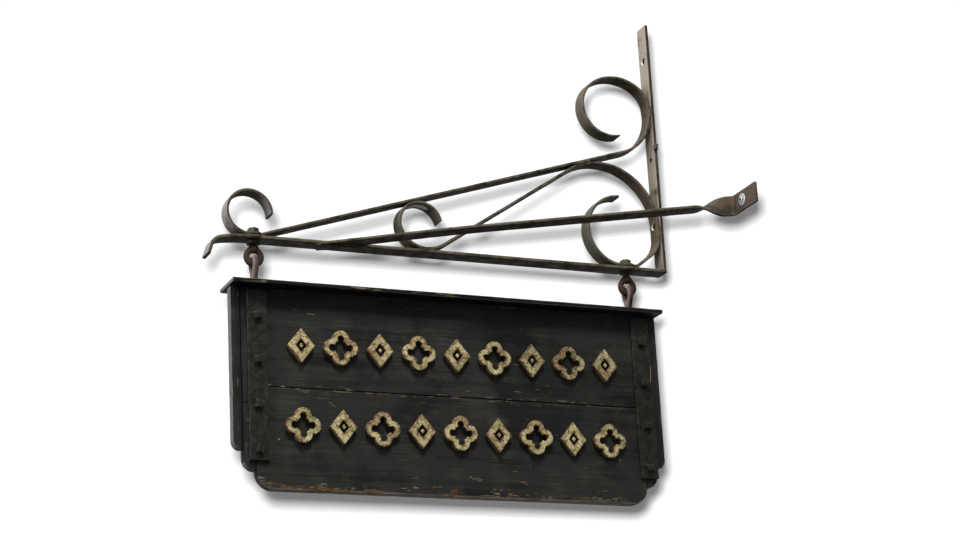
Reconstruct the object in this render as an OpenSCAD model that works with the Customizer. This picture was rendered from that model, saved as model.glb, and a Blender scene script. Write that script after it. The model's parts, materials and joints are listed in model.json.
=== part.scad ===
// Double-sided hanging sign on a scrolled iron wall bracket, in millimetres.
// The wall is the plane X = 0 and the arm runs out along -X. Y = 0 is the middle
// plane of bracket and board, and the stay reaches the wall on the -Y side.
// Z = 0 is half way between the two wall bolt holes. Inside the modules heights
// are counted from the underside of the arm, and lifted() puts them in place.

/* [Flat bars] */
// Width of the flat bar of the wall bar and the arm
bar_w = 32; // [28:1:38]
// Thickness of that flat bar
bar_t = 6; // [5:0.5:8]
// Height of the wall bar above the underside of the arm
wall_h = 462; // [430:2:500]
// Distance from the left eye bolt to the point where the arm starts to droop
arm_beyond = 13; // [13:0.5:24]
// Inside radius of the droop
droop_r = 200; // [120:5:300]
// Angle of the droop, in degrees
droop_bend = 12; // [6:1:16]
// Inside radius of the bend at the arm's tip
tip_r = 17; // [14:1:22]
// Angle through which the tip is bent down further
tip_bend = 60; // [40:1:64]
// Straight length after the bend
tip_end = 19; // [10:1:24]

/* [Wall holes] */
// Diameter of the two wall bolt holes
wall_hole_d = 14; // [8:0.5:16]
// Height of the lower wall bolt hole
wall_hole_low = 88; // [86:1:100]
// Distance between the two wall bolt holes
wall_hole_pitch = 310; // [300:1:330]
// Diameter of the small spare hole between them
spare_hole_d = 8; // [4:0.5:10]
// Height of the small spare hole
spare_hole_h = 211; // [205:1:218]

/* [Scroll strips] */
// Width of the scroll strips
strip_w = 28; // [24:1:32]
// Thickness of the scroll strips
strip_t = 5; // [4:0.5:5]
// Slope of the upper strip's long run, in degrees
rise = 17.4; // [17:0.1:18]
// Mean radius of the scroll at the arm's tip
tip_scroll_r = 37; // [32:0.5:42]
// Sweep of the scroll at the arm's tip, in degrees
tip_scroll_sweep = 273; // [240:1:290]
// Mean radius of the bend where the upper strip leaves the arm
lift_r = 8; // [6:1:16]
// Mean radius where the upper strip turns up along the wall
turn_r = 82; // [76:1:88]
// Length of the upper strip that lies on the wall bar
upper_seat = 7; // [4:1:12]
// Mean radius where the top scroll leaves the wall bar
crest_rise_r = 48; // [44:1:52]
// Sweep of that arc, in degrees
crest_rise_sweep = 55; // [48:1:60]
// Mean radius over the top of the top scroll
crest_r = 75; // [70:1:80]
// Sweep of that arc, in degrees
crest_sweep = 70; // [60:1:76]
// Mean radius of the top scroll's curl
crest_curl_r = 53; // [48:1:56]
// Sweep of the curl to its free end, in degrees
crest_curl_sweep = 162; // [140:1:175]
// Mean radius of the left half of the foot scroll
foot_scroll_r = 62; // [58:1:64]
// Slope of the foot scroll's short run between the arm and the wall, in degrees
corner_slope = 38; // [34:1:45]
// Mean radius where that run leaves the arm
corner_lift_r = 14; // [8:1:16]
// Mean radius where that run turns up along the wall
corner_turn_r = 34; // [24:1:40]
// Length of the lower strip that lies on the wall bar
lower_seat = 22; // [18:1:26]
// Slope of the lower strip's diagonal, in degrees
fall = 33; // [31:0.5:35]
// Mean radius where the diagonal comes down onto the arm
land_r = 60; // [50:1:70]
// Mean radius of the first part of the small scroll
small_scroll_r = 45; // [42:0.5:48]
// Sweep of that first part, in degrees
small_scroll_sweep = 75; // [65:1:85]
// Sweep of the rest of the small scroll, in degrees
small_curl_sweep = 185; // [160:1:200]

/* [Stay] */
// Width of the stay
stay_w = 30; // [26:1:34]
// Thickness of the stay
stay_t = 5; // [4:0.5:6]
// Height of the foot on the wall, where the stay is hammered broader
foot_w = 34; // [30:1:38]
// Distance from the wall to the middle of the stay's joint with the arm
stay_start = 593; // [570:1:620]
// Length of the stay up to its knee
stay_knee_len = 180; // [140:5:240]
// Height of the knee above the underside of the arm
stay_knee_h = 15.5; // [10:0.5:18]
// Distance from the middle plane to the start of the stay's foot
foot_start = 270; // [250:1:290]
// Length of the flat foot on the wall
foot_len = 67; // [60:1:90]
// Height of the middle of the foot above the underside of the arm
foot_h = 36; // [30:1:44]
// Mean radius of the bend into the foot
foot_bend_r = 11; // [9:0.5:16]
// Length of the upright stretch before the bend
upright_len = 3; // [2:1:16]
// Length of the quarter twist
twist_len = 56; // [50:1:90]
// Distance from the start of the foot to its screw
foot_screw_at = 25; // [20:1:40]

/* [Stay screw] */
// Diameter of the screw's threaded shank
screw_d = 5; // [4:0.5:5]
// Diameter of the screw's plain neck in the foot
screw_neck_d = 5.5; // [5.5:0.5:7]
// Length of the screw beyond the wall face
screw_out = 25; // [20:1:50]
// Length of the screw's point
screw_point = 8; // [5:1:10]
// Diameter of the screw head
screw_head_d = 10; // [9:0.5:12]
// Height of the screw head
screw_head_h = 3; // [2:0.5:4]
// Outside diameter of the screw's washer
screw_washer_d = 23; // [16:1:25]
// Thickness of the screw's washer
screw_washer_t = 1.6; // [1:0.2:2.4]

/* [Eye bolts] */
// Thickness of the round rod of the four eyes
rod_d = 9.5; // [8:0.5:10]
// Mean radius of the arm eyes' loops
arm_eye_r = 12; // [12:0.5:14]
// Depth of the arm eyes' loop centres below the arm
arm_eye_drop = 27; // [26:0.5:30]
// Depth below the arm where the arm eyes' legs meet
arm_eye_neck = 8; // [7:0.5:9]
// Mean radius of the sign eyes' loops
sign_eye_r = 10.5; // [10.5:0.5:12]
// Length from a sign eye's loop centre down to where its legs meet
sign_eye_leg = 26; // [24:0.5:28]
// Diameter of the sign eyes' screws in the wood
eye_screw_d = 8; // [6:0.5:8]
// Depth to which these screws go into the planks
eye_screw_deep = 36; // [30:1:40]
// Diameter of the washers under the arm
eye_washer_d = 23; // [20:1:26]
// Thickness of the left eye bolt's washer
left_washer_t = 6; // [4:0.5:6]
// Thickness of the right eye bolt's washer
right_washer_t = 4; // [3:0.5:6]
// Width across flats of the eye bolts' nuts
eye_nut_af = 17; // [15:1:19]
// Height of the eye bolts' nuts
eye_nut_h = 8; // [6:0.5:9]
// Length of the flat seat under each nut
nut_seat = 18; // [17.5:0.5:24]

/* [Board] */
// Length of the board
board_len = 753; // [740:1:756]
// Distance from the wall to the right end of the board
board_gap = 28; // [24:1:34]
// Distance from the board's ends to the eyes that carry it
eye_inset = 43; // [42:0.5:48]
// Thickness of the board
board_t = 16; // [14:1:20]
// Depth of the board's top edge below the arm
board_top = 80.5; // [80:0.5:86]
// Depth of the board's bottom edge below the arm
board_bottom = 407; // [400:1:414]
// Depth of the seam between the planks below the arm
seam_drop = 241.5; // [239:0.5:244]
// Width of the outer stiles
outer_stile_w = 16; // [14:1:17]
// Width of the inner stiles
inner_stile_w = 21; // [20:1:22]
// Depth of the outer stiles' lower ends below the arm
outer_stile_end = 345; // [341:1:350]
// Depth of the inner stiles' lower ends below the arm
inner_stile_end = 378; // [374:1:382]
// Depth of the joint in the left inner stile below the arm
stile_joint = 297; // [286:1:302]
// Inner stiles are thinner than the board by this much on each face
stile_recess = 1.5; // [0.5:0.5:2.5]
// Radius of the outer stiles' lower corners
outer_corner_r = 15; // [10:1:16]
// Radius of the inner stiles' lower corners
inner_corner_r = 20; // [14:1:20]
// Radius of the lower plank's corners
plank_corner_r = 29; // [20:1:29]

/* [Cap] */
// Length by which the cap board stands out beyond each end of the board
cap_overhang = 3.5; // [2:0.5:12]
// Depth of the cap board from front to back
cap_w = 70; // [64:1:78]
// Thickness of the cap board
cap_t = 7; // [6:0.5:9]
// Radius of the cap board's long upper edges
cap_edge_r = 2; // [1:0.5:3]
// Number of nails through the cap board
cap_nails_n = 5; // [3:1:7]
// Shank diameter of these nails
nail_d = 3; // [2:0.5:4]
// Length of these nails below the cap board
nail_len = 34; // [25:1:40]

/* [Straps] */
// Width of the iron straps
strap_w = 33; // [30:1:36]
// Thickness of the iron straps
strap_t = 5; // [4:0.5:6]
// Gap between the cap board and the straps' upper ends
strap_gap = 3; // [1:0.5:6]
// Depth of the straps' lower ends below the arm
strap_end = 363; // [360:1:366]
// Distance from the board's left end to the middle of the left straps
strap_inset_left = 42; // [41.5:0.5:46]
// Distance from the board's right end to the middle of the right straps
strap_inset_right = 32; // [29:0.5:33]
// Depth of the uppermost strap bolts below the arm
strap_bolt_top = 128; // [126:1:132]
// Distance between strap bolts
strap_bolt_pitch = 72.5; // [70:0.5:73]
// Number of bolts in each pair of straps
strap_bolts_n = 4; // [3:1:4]
// Shank diameter of the strap bolts
strap_bolt_d = 6.5; // [5:0.5:7]
// Width across flats of the bolts' square heads and nuts
strap_head_af = 13; // [11:0.5:15]
// Height of the bolts' square heads
strap_head_h = 7; // [5:0.5:8]
// Height of the square nuts on the rear
strap_nut_h = 6; // [5:0.5:8]
// Length of bolt that stands out of its nut
strap_bolt_out = 3; // [1:0.5:6]

/* [Inner joinery] */
// Diameter of the dowels through the stiles
dowel_d = 8; // [6:0.5:9]
// Length of these dowels
dowel_len = 62; // [56:1:66]
// Distance from the board's end to these dowels
dowel_inset = 6; // [4:0.5:9]
// Depth of the upper dowels below the arm
dowel_upper = 165; // [150:1:185]
// Depth of the middle dowels below the arm
dowel_middle = 221; // [214:1:225]
// Depth of the lower dowels below the arm
dowel_lower = 314; // [308:1:325]
// Thickness of the loose tongue between the planks
tongue_t = 5; // [4:0.5:6]
// Height of the loose tongue between the planks
tongue_h = 18; // [14:1:20]
// Distance from the planks' ends to the ends of the tongue
tongue_inset = 10; // [5:1:20]

/* [Ornament] */
// Height of the raised ornaments
motif_h = 58; // [50:1:62]
// Width of the lozenges
lozenge_w = 46; // [40:1:50]
// Width of the lozenges' border
lozenge_rim = 11; // [8:0.5:13]
// Width of the quatrefoils' border
quatrefoil_rim = 9; // [8:0.5:11]
// Thickness of the raised ornaments
motif_t = 9; // [6:0.5:12]
// Distance between ornaments in a row
motif_pitch = 67; // [64:0.5:84]
// Least gap between a row of ornaments and the straps
motif_clear = 20; // [10:1:26]
// Depth of the middle of the upper row below the arm
row_upper = 173.5; // [150:0.5:185]
// Depth of the middle of the lower row below the arm
row_lower = 303.5; // [290:0.5:320]

/* [Clearances] */
// Radial clearance of bolts, dowels and screws in their holes
hole_gap = 0.25; // [0.1:0.05:0.5]
// Clearance between a sign eye and the arm eye that carries it
eye_gap = 0.3; // [0.2:0.05:0.5]
// Width of the open joint lines between the boards
joint_gap = 0.4; // [0.1:0.1:0.8]

/* [Hidden] */
$fn = 96;
over = 1;                       // how far cutters run past a face
origin_h = wall_hole_low + wall_hole_pitch / 2;
strip_face = bar_t + strip_t;   // upper face of a strip that lies on the arm
strip_mid = bar_t + strip_t / 2;
wall_x = -strip_mid;            // middle of a strip that lies on the wall bar

// Places along X
board_right = -board_gap;
board_left = board_right - board_len;
board_mid = (board_left + board_right) / 2;
eye_left = board_left + eye_inset;
eye_right = board_right - eye_inset;
eye_xs = [eye_left, eye_right];
arm_reach = arm_beyond - eye_left;
stile_w = outer_stile_w + inner_stile_w;
strap_left = board_left + strap_inset_left;
strap_right = board_right - strap_inset_right;
motif_mid = (strap_left + strap_right) / 2;

// Heights of the eyes: a sign eye hangs on the lowest rod of an arm eye
pivot_drop = arm_eye_drop + arm_eye_r;
sign_eye_drop = pivot_drop - rod_d - eye_gap + sign_eye_r;
cap_top = board_top - cap_t;
cap_len = board_len + 2 * cap_overhang;

// Upper strip, in three lengths that meet end to end: the scroll at the arm's tip
// with the left nut's seat, the long run that rises from it, and the top scroll.
// The run's length is what brings the turn at its top against the wall bar.
upper_start_x = eye_left - nut_seat / 2;
run_foot_x = eye_left + nut_seat / 2 + lift_r * tan(rise / 2);
upper_run = (wall_x - eye_left - nut_seat / 2 - lift_r * sin(rise)
             - turn_r * (1 - sin(rise))) / cos(rise);
tip_scroll_path = [
    [tip_scroll_r, tip_scroll_sweep],
    [0, nut_seat],
    [lift_r, rise]
];
upper_run_path = [[0, upper_run]];
top_scroll_path = [
    [turn_r, 90 - rise],
    [0, upper_seat],
    [crest_rise_r, crest_rise_sweep],
    [crest_r, crest_sweep],
    [crest_curl_r, crest_curl_sweep]
];
tip_scroll_pose = [
    upper_start_x - tip_scroll_r * sin(tip_scroll_sweep),
    strip_mid + tip_scroll_r * (1 - cos(tip_scroll_sweep)),
    -tip_scroll_sweep
];
upper_run_pose = last_pose(tip_scroll_pose, tip_scroll_path);
top_scroll_pose = last_pose(upper_run_pose, upper_run_path);

// Lower strip, in four lengths that meet end to end: the foot scroll with the
// right nut's seat, the arch that lies on the wall bar and touches the upper
// strip's run, the diagonal, and the small scroll. The diagonal comes down until
// the small scroll rests on the arm, and its curl touches the upper strip again.
corner_start_x = eye_right + nut_seat / 2;
function run_height(x) = strip_mid + (x - run_foot_x) * tan(rise);
corner_run = (wall_x - corner_start_x - corner_lift_r * sin(corner_slope)
              - corner_turn_r * (1 - sin(corner_slope))) / cos(corner_slope);
arch_mid_h = strip_mid + corner_lift_r * (1 - cos(corner_slope))
             + corner_run * sin(corner_slope) + corner_turn_r * cos(corner_slope) + lower_seat;
arch_r = ((run_height(wall_x) - arch_mid_h) * cos(rise) - strip_t) / (1 + sin(rise));
arch_end_x = wall_x - arch_r * (1 + sin(fall));
arch_end_h = arch_mid_h + arch_r * cos(fall);
diagonal = (arch_end_h - land_r * (1 - cos(fall)) - strip_mid) / sin(fall);
small_x = arch_end_x - diagonal * cos(fall) - land_r * sin(fall);
small_mid_h = strip_mid + small_scroll_r;
curl_turn = sin(180 + (90 - small_scroll_sweep) - rise);
curl_r = ((run_height(small_x) - small_mid_h) * cos(rise)
          - small_scroll_r * curl_turn - strip_t) / (1 - curl_turn);
foot_scroll_path = [
    [foot_scroll_r, 180],
    [0, nut_seat],
    [corner_lift_r, corner_slope]
];
arch_path = [
    [0, corner_run],
    [corner_turn_r, 90 - corner_slope],
    [0, lower_seat],
    [arch_r, 90 + fall]
];
diagonal_path = [[0, diagonal]];
small_scroll_path = [
    [land_r, -fall],
    [small_scroll_r, -small_scroll_sweep],
    [curl_r, -small_curl_sweep]
];
foot_scroll_pose = [eye_right - nut_seat / 2, strip_mid + 2 * foot_scroll_r, 180];
arch_pose = last_pose(foot_scroll_pose, foot_scroll_path);
diagonal_pose = last_pose(arch_pose, arch_path);
small_scroll_pose = last_pose(diagonal_pose, diagonal_path);

// Stay: seen from above it runs straight from its start on the arm until it
// meets the bend into its foot as a tangent
stay_from = [-stay_start, -bar_w / 2];
stay_bend_mid = [-stay_t / 2 - foot_bend_r, -foot_start];
stay_reach = norm(stay_bend_mid - stay_from);
stay_way = atan2(stay_from.y - stay_bend_mid.y, stay_bend_mid.x - stay_from.x)
           - asin(foot_bend_r / stay_reach);
stay_plan = sqrt(stay_reach * stay_reach - foot_bend_r * foot_bend_r);
stay_upright = stay_plan - upright_len;
stay_twist = stay_upright - twist_len;
stay_pitch = atan((foot_h - stay_knee_h) / (stay_upright - stay_knee_len));
stay_first_pitch = atan((stay_knee_h - bar_t / 2) / stay_knee_len);
twist_steps = 24;
bend_steps = 8;
bend_step = 4;                  // degrees between points round a bent bar
leg_upset = 0.1;
foot_screw_y = -foot_start - foot_screw_at;
screw_tip_d = 0.5;
screw_hole_d = screw_neck_d + 2 * hole_gap;

// Strap bolts, dowels and rows of ornament
strap_bolt_drops = [for (i = [0:strap_bolts_n - 1]) strap_bolt_top + i * strap_bolt_pitch];
dowel_drops = [dowel_upper, dowel_middle, dowel_lower];
row_drops = [row_upper, row_lower];
row_room = strap_right - strap_left - strap_w - 2 * motif_clear;
motif_n = floor((row_room - motif_h) / motif_pitch) + 1;
lozenge_core = 0.42;            // size of the small lozenge as a share of the opening
face_y = board_t / 2;
strap_face_y = face_y + strap_t;
plank_left = board_left + stile_w;
plank_right = board_right - stile_w;
nail_head_d = 7;
nail_head_h = 1;
nail_inset = 70;
nail_first = eye_left + nail_inset;
nail_pitch = (eye_right - eye_left - 2 * nail_inset) / (cap_nails_n - 1);
nail_xs = [for (i = [0:cap_nails_n - 1]) nail_first + i * nail_pitch];

iron = "#3b352c";
rusty = "#4b3d33";
zinc = "#c9ccd0";
paint = "#2b2c2b";
gilt = "#b5a478";
bare_wood = "#8a6a48";

// Puts heights counted from the arm's underside into the part's frame
module lifted() {
    translate([0, 0, -origin_h]) children();
}

// The same piece at the other end of the board
module other_end() {
    translate([2 * board_mid, 0, 0]) mirror([1, 0, 0]) children();
}

// A box from its least corner to its greatest
module block(low, high) {
    translate(low) cube(high - low);
}

// A round bar from a point along X, Y or Z
module bar_x(from, d, length) {
    translate(from) rotate([0, 90, 0]) cylinder(d = d, h = length);
}
module bar_y(from, d, length) {
    translate(from) rotate([-90, 0, 0]) cylinder(d = d, h = length);
}
module bar_z(from, d, length) {
    translate(from) cylinder(d = d, h = length);
}

// A flat bar is bent step by step: [0, length] runs straight, and [radius,
// angle] bends to the left, or to the right where the angle is negative. A
// pose is [x, height, heading], and this is the pose at the end of a step.
function stepped(pose, part) =
    part[0] == 0
    ? [pose[0] + part[1] * cos(pose[2]), pose[1] + part[1] * sin(pose[2]), pose[2]]
    : let (side = sign(part[1]), turned = pose[2] + part[1])
      [pose[0] + side * part[0] * (sin(turned) - sin(pose[2])),
       pose[1] - side * part[0] * (cos(turned) - cos(pose[2])), turned];

// Poses all along a bent bar, close together round each bend
function poses_along(start, path) =
    [for (i = 0, p = start; i < len(path); p = stepped(p, path[i]), i = i + 1)
        let (steps = path[i][0] == 0 ? 1 : ceil(abs(path[i][1]) / bend_step))
        each [for (k = [0:steps - 1]) stepped(p, [path[i][0], path[i][1] * k / steps])]];
function last_pose(pose, path, i = 0) =
    i == len(path) ? pose : last_pose(stepped(pose, path[i]), path, i + 1);

// Points at a distance to the left of each pose
function beside(poses, off) =
    [for (p = poses) [p[0] - off * sin(p[2]), p[1] + off * cos(p[2])]];

// A flat bar bent along a path in the XZ plane
module bent_bar(start, path, width, thick) {
    poses = concat(poses_along(start, path), [last_pose(start, path)]);
    back = [for (i = [len(poses) - 1:-1:0]) poses[i]];
    rotate([90, 0, 0]) linear_extrude(height = width, center = true)
        polygon(concat(beside(poses, thick / 2), beside(back, -thick / 2)));
}

module wall_bar() color(iron) difference() {
    block([-bar_t, -bar_w / 2, 0], [0, bar_w / 2, wall_h]);
    // Mitre against the arm
    rotate([0, 45, 0])
        block([-2 * bar_t, -bar_w, -2 * bar_t], [2 * bar_t, bar_w, 0]);
    for (h = [wall_hole_low, wall_hole_low + wall_hole_pitch])
        bar_x([-bar_t - over, 0, h], wall_hole_d, bar_t + 2 * over);
    bar_x([-bar_t - over, 0, spare_hole_h], spare_hole_d, bar_t + 2 * over);
}

module arm_bar() color(iron) difference() {
    bent_bar([0, bar_t / 2, 180],
             [[0, arm_reach], [droop_r + bar_t / 2, droop_bend],
              [tip_r + bar_t / 2, tip_bend], [0, tip_end]], bar_w, bar_t);
    // Mitre against the wall bar
    rotate([0, 45, 0])
        block([-2 * bar_t, -bar_w, 0], [2 * bar_t, bar_w, 2 * bar_t]);
    for (x = eye_xs) bar_z([x, 0, -over], rod_d + 2 * hole_gap, bar_t + 2 * over);
}

// A strip's length that lies under an eye bolt's nut
module seat_strip(start, path, i) color(iron) difference() {
    bent_bar(start, path, strip_w, strip_t);
    bar_z([eye_xs[i], 0, 0], rod_d + 2 * hole_gap, strip_face + over);
}

module free_strip(start, path) color(iron) bent_bar(start, path, strip_w, strip_t);

module arch_strip() color(iron) difference() {
    bent_bar(arch_pose, arch_path, strip_w, strip_t);
    bar_x([-strip_face - 2 * strip_t, 0, wall_hole_low], wall_hole_d, strip_face + 2 * strip_t);
}

// A section of the stay in its own frame, where x runs along it, y to its left
// and z up: its middle, its heading seen from above, how steeply it climbs, how
// far it is turned about its own length, and its width
function stay_section(middle, heading, climb, turn, width) =
    let (left = [-sin(heading), cos(heading), 0],
         up = [-cos(heading) * sin(climb), -sin(heading) * sin(climb), cos(climb)],
         across = left * cos(turn) + up * sin(turn),
         through = up * cos(turn) - left * sin(turn))
    [for (c = [[-1, -1], [1, -1], [1, 1], [-1, 1]])
        middle + across * c[0] * width / 2 + through * c[1] * stay_t / 2];

// From the stay's own frame to the bracket's
function stay_point(p) =
    [stay_from.x + p.x * cos(stay_way) + p.y * sin(stay_way),
     stay_from.y - p.x * sin(stay_way) + p.y * cos(stay_way), p.z];

// The stay's sections in order: the two straight runs, the quarter twist, in
// which the edge that faced the wall turns up, and the bend. The first section
// lies inside the arm, whose front edge the stay's end is cut to.
function first_run_h(x) = bar_t / 2 + x * tan(stay_first_pitch);
function second_run_h(x) = stay_knee_h + (x - stay_knee_len) * tan(stay_pitch);
stay_inside = -1.3 * stay_w / 2 / tan(stay_way);
stay_sections = concat(
    [stay_section([stay_inside, 0, first_run_h(stay_inside)], 0, stay_first_pitch, 0, stay_w),
     stay_section([stay_knee_len, 0, stay_knee_h], 0, (stay_first_pitch + stay_pitch) / 2, 0, stay_w)],
    [for (i = [0:twist_steps])
        let (part = i / twist_steps, eased = part * part * (3 - 2 * part),
             x = stay_twist + twist_len * part)
        stay_section([x, 0, second_run_h(x)], 0, stay_pitch * (1 - part), 90 * eased,
                     stay_w + (foot_w - stay_w) * eased)],
    [for (i = [0:bend_steps])
        let (turn = (90 - stay_way) * i / bend_steps)
        stay_section([stay_plan + foot_bend_r * sin(turn),
                      foot_bend_r * (cos(turn) - 1), foot_h], -turn, 0, 90, foot_w)]);

// A closed skin over sections of four points each
module skin(sections) {
    last = 4 * (len(sections) - 1);
    sides = [for (i = [0:4:last - 4], k = [0:3])
        let (a = i + k, b = i + (k + 1) % 4) each [[a, a + 4, b + 4], [a, b + 4, b]]];
    polyhedron([for (s = sections) each s],
               concat(sides, [[0, 1, 2], [0, 2, 3]],
                      [[last + 2, last + 1, last], [last + 3, last + 2, last]]));
}

module stay_bar() color(iron) difference() {
    union() {
        skin([for (s = stay_sections) [for (p = s) stay_point(p)]]);
        block([-stay_t, -foot_start - foot_len, foot_h - foot_w / 2],
              [0, -foot_start, foot_h + foot_w / 2]);
    }
    // The end is cut to the arm's front edge
    block([-stay_start - stay_w / sin(stay_way), -bar_w / 2, -stay_w],
          [-stay_start + stay_w / sin(stay_way), bar_w, stay_w]);
    bar_x([-stay_t - over, foot_screw_y, foot_h], screw_hole_d, stay_t + 2 * over);
}

module stay_washer() color(zinc) difference() {
    bar_x([-stay_t - screw_washer_t, foot_screw_y, foot_h], screw_washer_d, screw_washer_t);
    bar_x([-stay_t - screw_washer_t - over, foot_screw_y, foot_h],
          screw_hole_d, screw_washer_t + 2 * over);
}

module stay_screw() color(zinc) {
    seat = stay_t + screw_washer_t;
    bar_x([-seat - screw_head_h, foot_screw_y, foot_h], screw_head_d, screw_head_h);
    bar_x([-seat, foot_screw_y, foot_h], screw_neck_d, seat);
    bar_x([-over, foot_screw_y, foot_h], screw_d, over + screw_out - screw_point);
    translate([screw_out - screw_point, foot_screw_y, foot_h]) rotate([0, 90, 0])
        cylinder(d1 = screw_d, d2 = screw_tip_d, h = screw_point);
}

// Pear-shaped loop in the plane X = 0 with its round end up. The rod's legs
// run as tangents from the round end down to where they meet, and the rod is
// upset a little thicker there by the forging.
module eye_loop(mean_r, leg) {
    lean = asin(mean_r / leg);
    rotate([90, 0, 90]) rotate([0, 0, -lean])
        rotate_extrude(angle = 180 + 2 * lean)
        translate([mean_r, 0]) circle(d = rod_d);
    for (side = [-1, 1])
        translate([0, 0, -leg]) rotate([side * -lean, 0, 0])
            cylinder(d = rod_d + 2 * leg_upset, h = leg * cos(lean) + leg_upset);
    translate([0, 0, -leg]) sphere(d = rod_d + 4 * leg_upset);
}

module arm_eye(i) color(rusty) {
    translate([eye_xs[i], 0, 0]) {
        translate([0, 0, -arm_eye_drop]) rotate([180, 0, 90])
            eye_loop(arm_eye_r, arm_eye_drop - arm_eye_neck);
        bar_z([0, 0, -arm_eye_neck], rod_d, arm_eye_neck + strip_face + eye_nut_h + over);
    }
}

module eye_washer(i) color(iron) {
    thick = [left_washer_t, right_washer_t][i];
    difference() {
        bar_z([eye_xs[i], 0, -thick], eye_washer_d, thick);
        bar_z([eye_xs[i], 0, -thick - over], rod_d + 2 * hole_gap, thick + 2 * over);
    }
}

// A nut's hexagon with its upper corners turned off
module eye_nut(i) color(iron) {
    corner_d = eye_nut_af / cos(30);
    translate([eye_xs[i], 0, strip_face]) difference() {
        intersection() {
            rotate([0, 0, 30]) cylinder(d = corner_d, h = eye_nut_h, $fn = 6);
            cylinder(d1 = corner_d + 3 * eye_nut_h, d2 = eye_nut_af - 2, h = eye_nut_h);
        }
        bar_z([0, 0, -over], rod_d + 2 * hole_gap, eye_nut_h + 2 * over);
    }
}

module sign_eye(i) color(rusty) {
    translate([eye_xs[i], 0, -sign_eye_drop]) {
        eye_loop(sign_eye_r, sign_eye_leg);
        bar_z([0, 0, sign_eye_drop - board_top], rod_d,
              board_top - sign_eye_drop - sign_eye_leg);
        bar_z([0, 0, sign_eye_drop - board_top - eye_screw_deep], eye_screw_d, eye_screw_deep);
    }
}

module cap_board() color(paint) difference() {
    low = -board_top;
    left = board_mid - cap_len / 2;
    union() {
        block([left, -cap_w / 2, low], [left + cap_len, cap_w / 2, low + cap_t - cap_edge_r]);
        block([left, cap_edge_r - cap_w / 2, low],
              [left + cap_len, cap_w / 2 - cap_edge_r, low + cap_t]);
        for (side = [-1, 1])
            bar_x([left, side * (cap_w / 2 - cap_edge_r), low + cap_t - cap_edge_r],
                  2 * cap_edge_r, cap_len);
    }
    for (x = eye_xs) bar_z([x, 0, low - over], rod_d + 2 * hole_gap, cap_t + 2 * over);
    for (x = nail_xs) bar_z([x, 0, low - over], nail_d, cap_t + 2 * over);
}

module cap_nails() color(iron) {
    for (x = nail_xs) {
        bar_z([x, 0, -cap_top], nail_head_d, nail_head_h);
        bar_z([x, 0, -board_top - nail_len], nail_d, nail_len + cap_t);
    }
}

// Holes for the strap bolts of both ends, right through the board
module strap_bolt_holes() {
    for (x = [strap_left, strap_right], drop = strap_bolt_drops)
        bar_y([x, -strap_face_y - over, -drop], strap_bolt_d + 2 * hole_gap,
              2 * (strap_face_y + over));
}

// Holes for the dowels of the left end
module dowel_holes() {
    for (drop = dowel_drops)
        bar_x([board_mid - board_len / 2 + dowel_inset - hole_gap, 0, -drop],
              dowel_d + 2 * hole_gap, dowel_len + 2 * hole_gap);
}

module upper_plank() color(paint) difference() {
    block([plank_left, -face_y, -seam_drop + joint_gap], [plank_right, face_y, -board_top]);
    tongue_groove();
    for (x = eye_xs)
        bar_z([x, 0, -board_top - eye_screw_deep - over], eye_screw_d + 2 * hole_gap,
              eye_screw_deep + 2 * over);
    for (x = nail_xs) bar_z([x, 0, -board_top - nail_len], nail_d, nail_len + over);
    strap_bolt_holes();
    dowel_holes();
    other_end() dowel_holes();
}

// What is cut off to round a lower left corner of the board
module corner_waste(left, drop, round_r) {
    difference() {
        block([left - over, -board_t, -drop - over], [left + round_r, board_t, -drop + round_r]);
        bar_y([left + round_r, -board_t - over, -drop + round_r], 2 * round_r,
              2 * (board_t + over));
    }
}

module lower_plank() color(paint) difference() {
    block([plank_left, -face_y, -board_bottom], [plank_right, face_y, -seam_drop]);
    corner_waste(plank_left, board_bottom, plank_corner_r);
    other_end() corner_waste(plank_left, board_bottom, plank_corner_r);
    tongue_groove();
    strap_bolt_holes();
    dowel_holes();
    other_end() dowel_holes();
}

module tongue_groove() {
    half = tongue_h / 2 + hole_gap;
    block([plank_left - over, -tongue_t / 2 - hole_gap, -seam_drop - half],
          [plank_right + over, tongue_t / 2 + hole_gap, -seam_drop + half]);
}

module plank_tongue() color(bare_wood) {
    block([plank_left + tongue_inset, -tongue_t / 2, -seam_drop - tongue_h / 2],
          [plank_right - tongue_inset, tongue_t / 2, -seam_drop + tongue_h / 2]);
}

// Outer stile of the left end, with a round lower corner
module outer_stile() color(paint) difference() {
    block([board_left, -face_y, -outer_stile_end],
          [board_left + outer_stile_w - joint_gap, face_y, -board_top]);
    corner_waste(board_left, outer_stile_end, outer_corner_r);
    dowel_holes();
}

// A length of the left end's inner stile, between two depths
module inner_stile(top, bottom) color(paint) difference() {
    half = face_y - stile_recess;
    block([board_left + outer_stile_w, -half, -bottom], [plank_left - joint_gap, half, -top]);
    corner_waste(board_left + outer_stile_w, inner_stile_end, inner_corner_r);
    dowel_holes();
}

module left_inner_stile(top, bottom) color(paint) difference() {
    inner_stile(top, bottom);
    strap_bolt_holes();
}

module right_inner_stile() color(paint) difference() {
    other_end() inner_stile(board_top, inner_stile_end);
    strap_bolt_holes();
}

module stile_dowels() color(bare_wood) {
    for (drop = dowel_drops) bar_x([board_left + dowel_inset, 0, -drop], dowel_d, dowel_len);
}

module strap(x, side) color(paint) difference() {
    near = side < 0 ? -strap_face_y : face_y;
    block([x - strap_w / 2, near, -strap_end],
          [x + strap_w / 2, near + strap_t, -board_top - strap_gap]);
    strap_bolt_holes();
}

// Square head or nut with its outer corners turned off, standing on +Z
module square_head(height) {
    corner_d = strap_head_af * sqrt(2);
    intersection() {
        rotate([0, 0, 45]) cylinder(d = corner_d, h = height, $fn = 4);
        cylinder(d1 = corner_d + 2 * height, d2 = strap_head_af - 1, h = height);
    }
}

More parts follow.
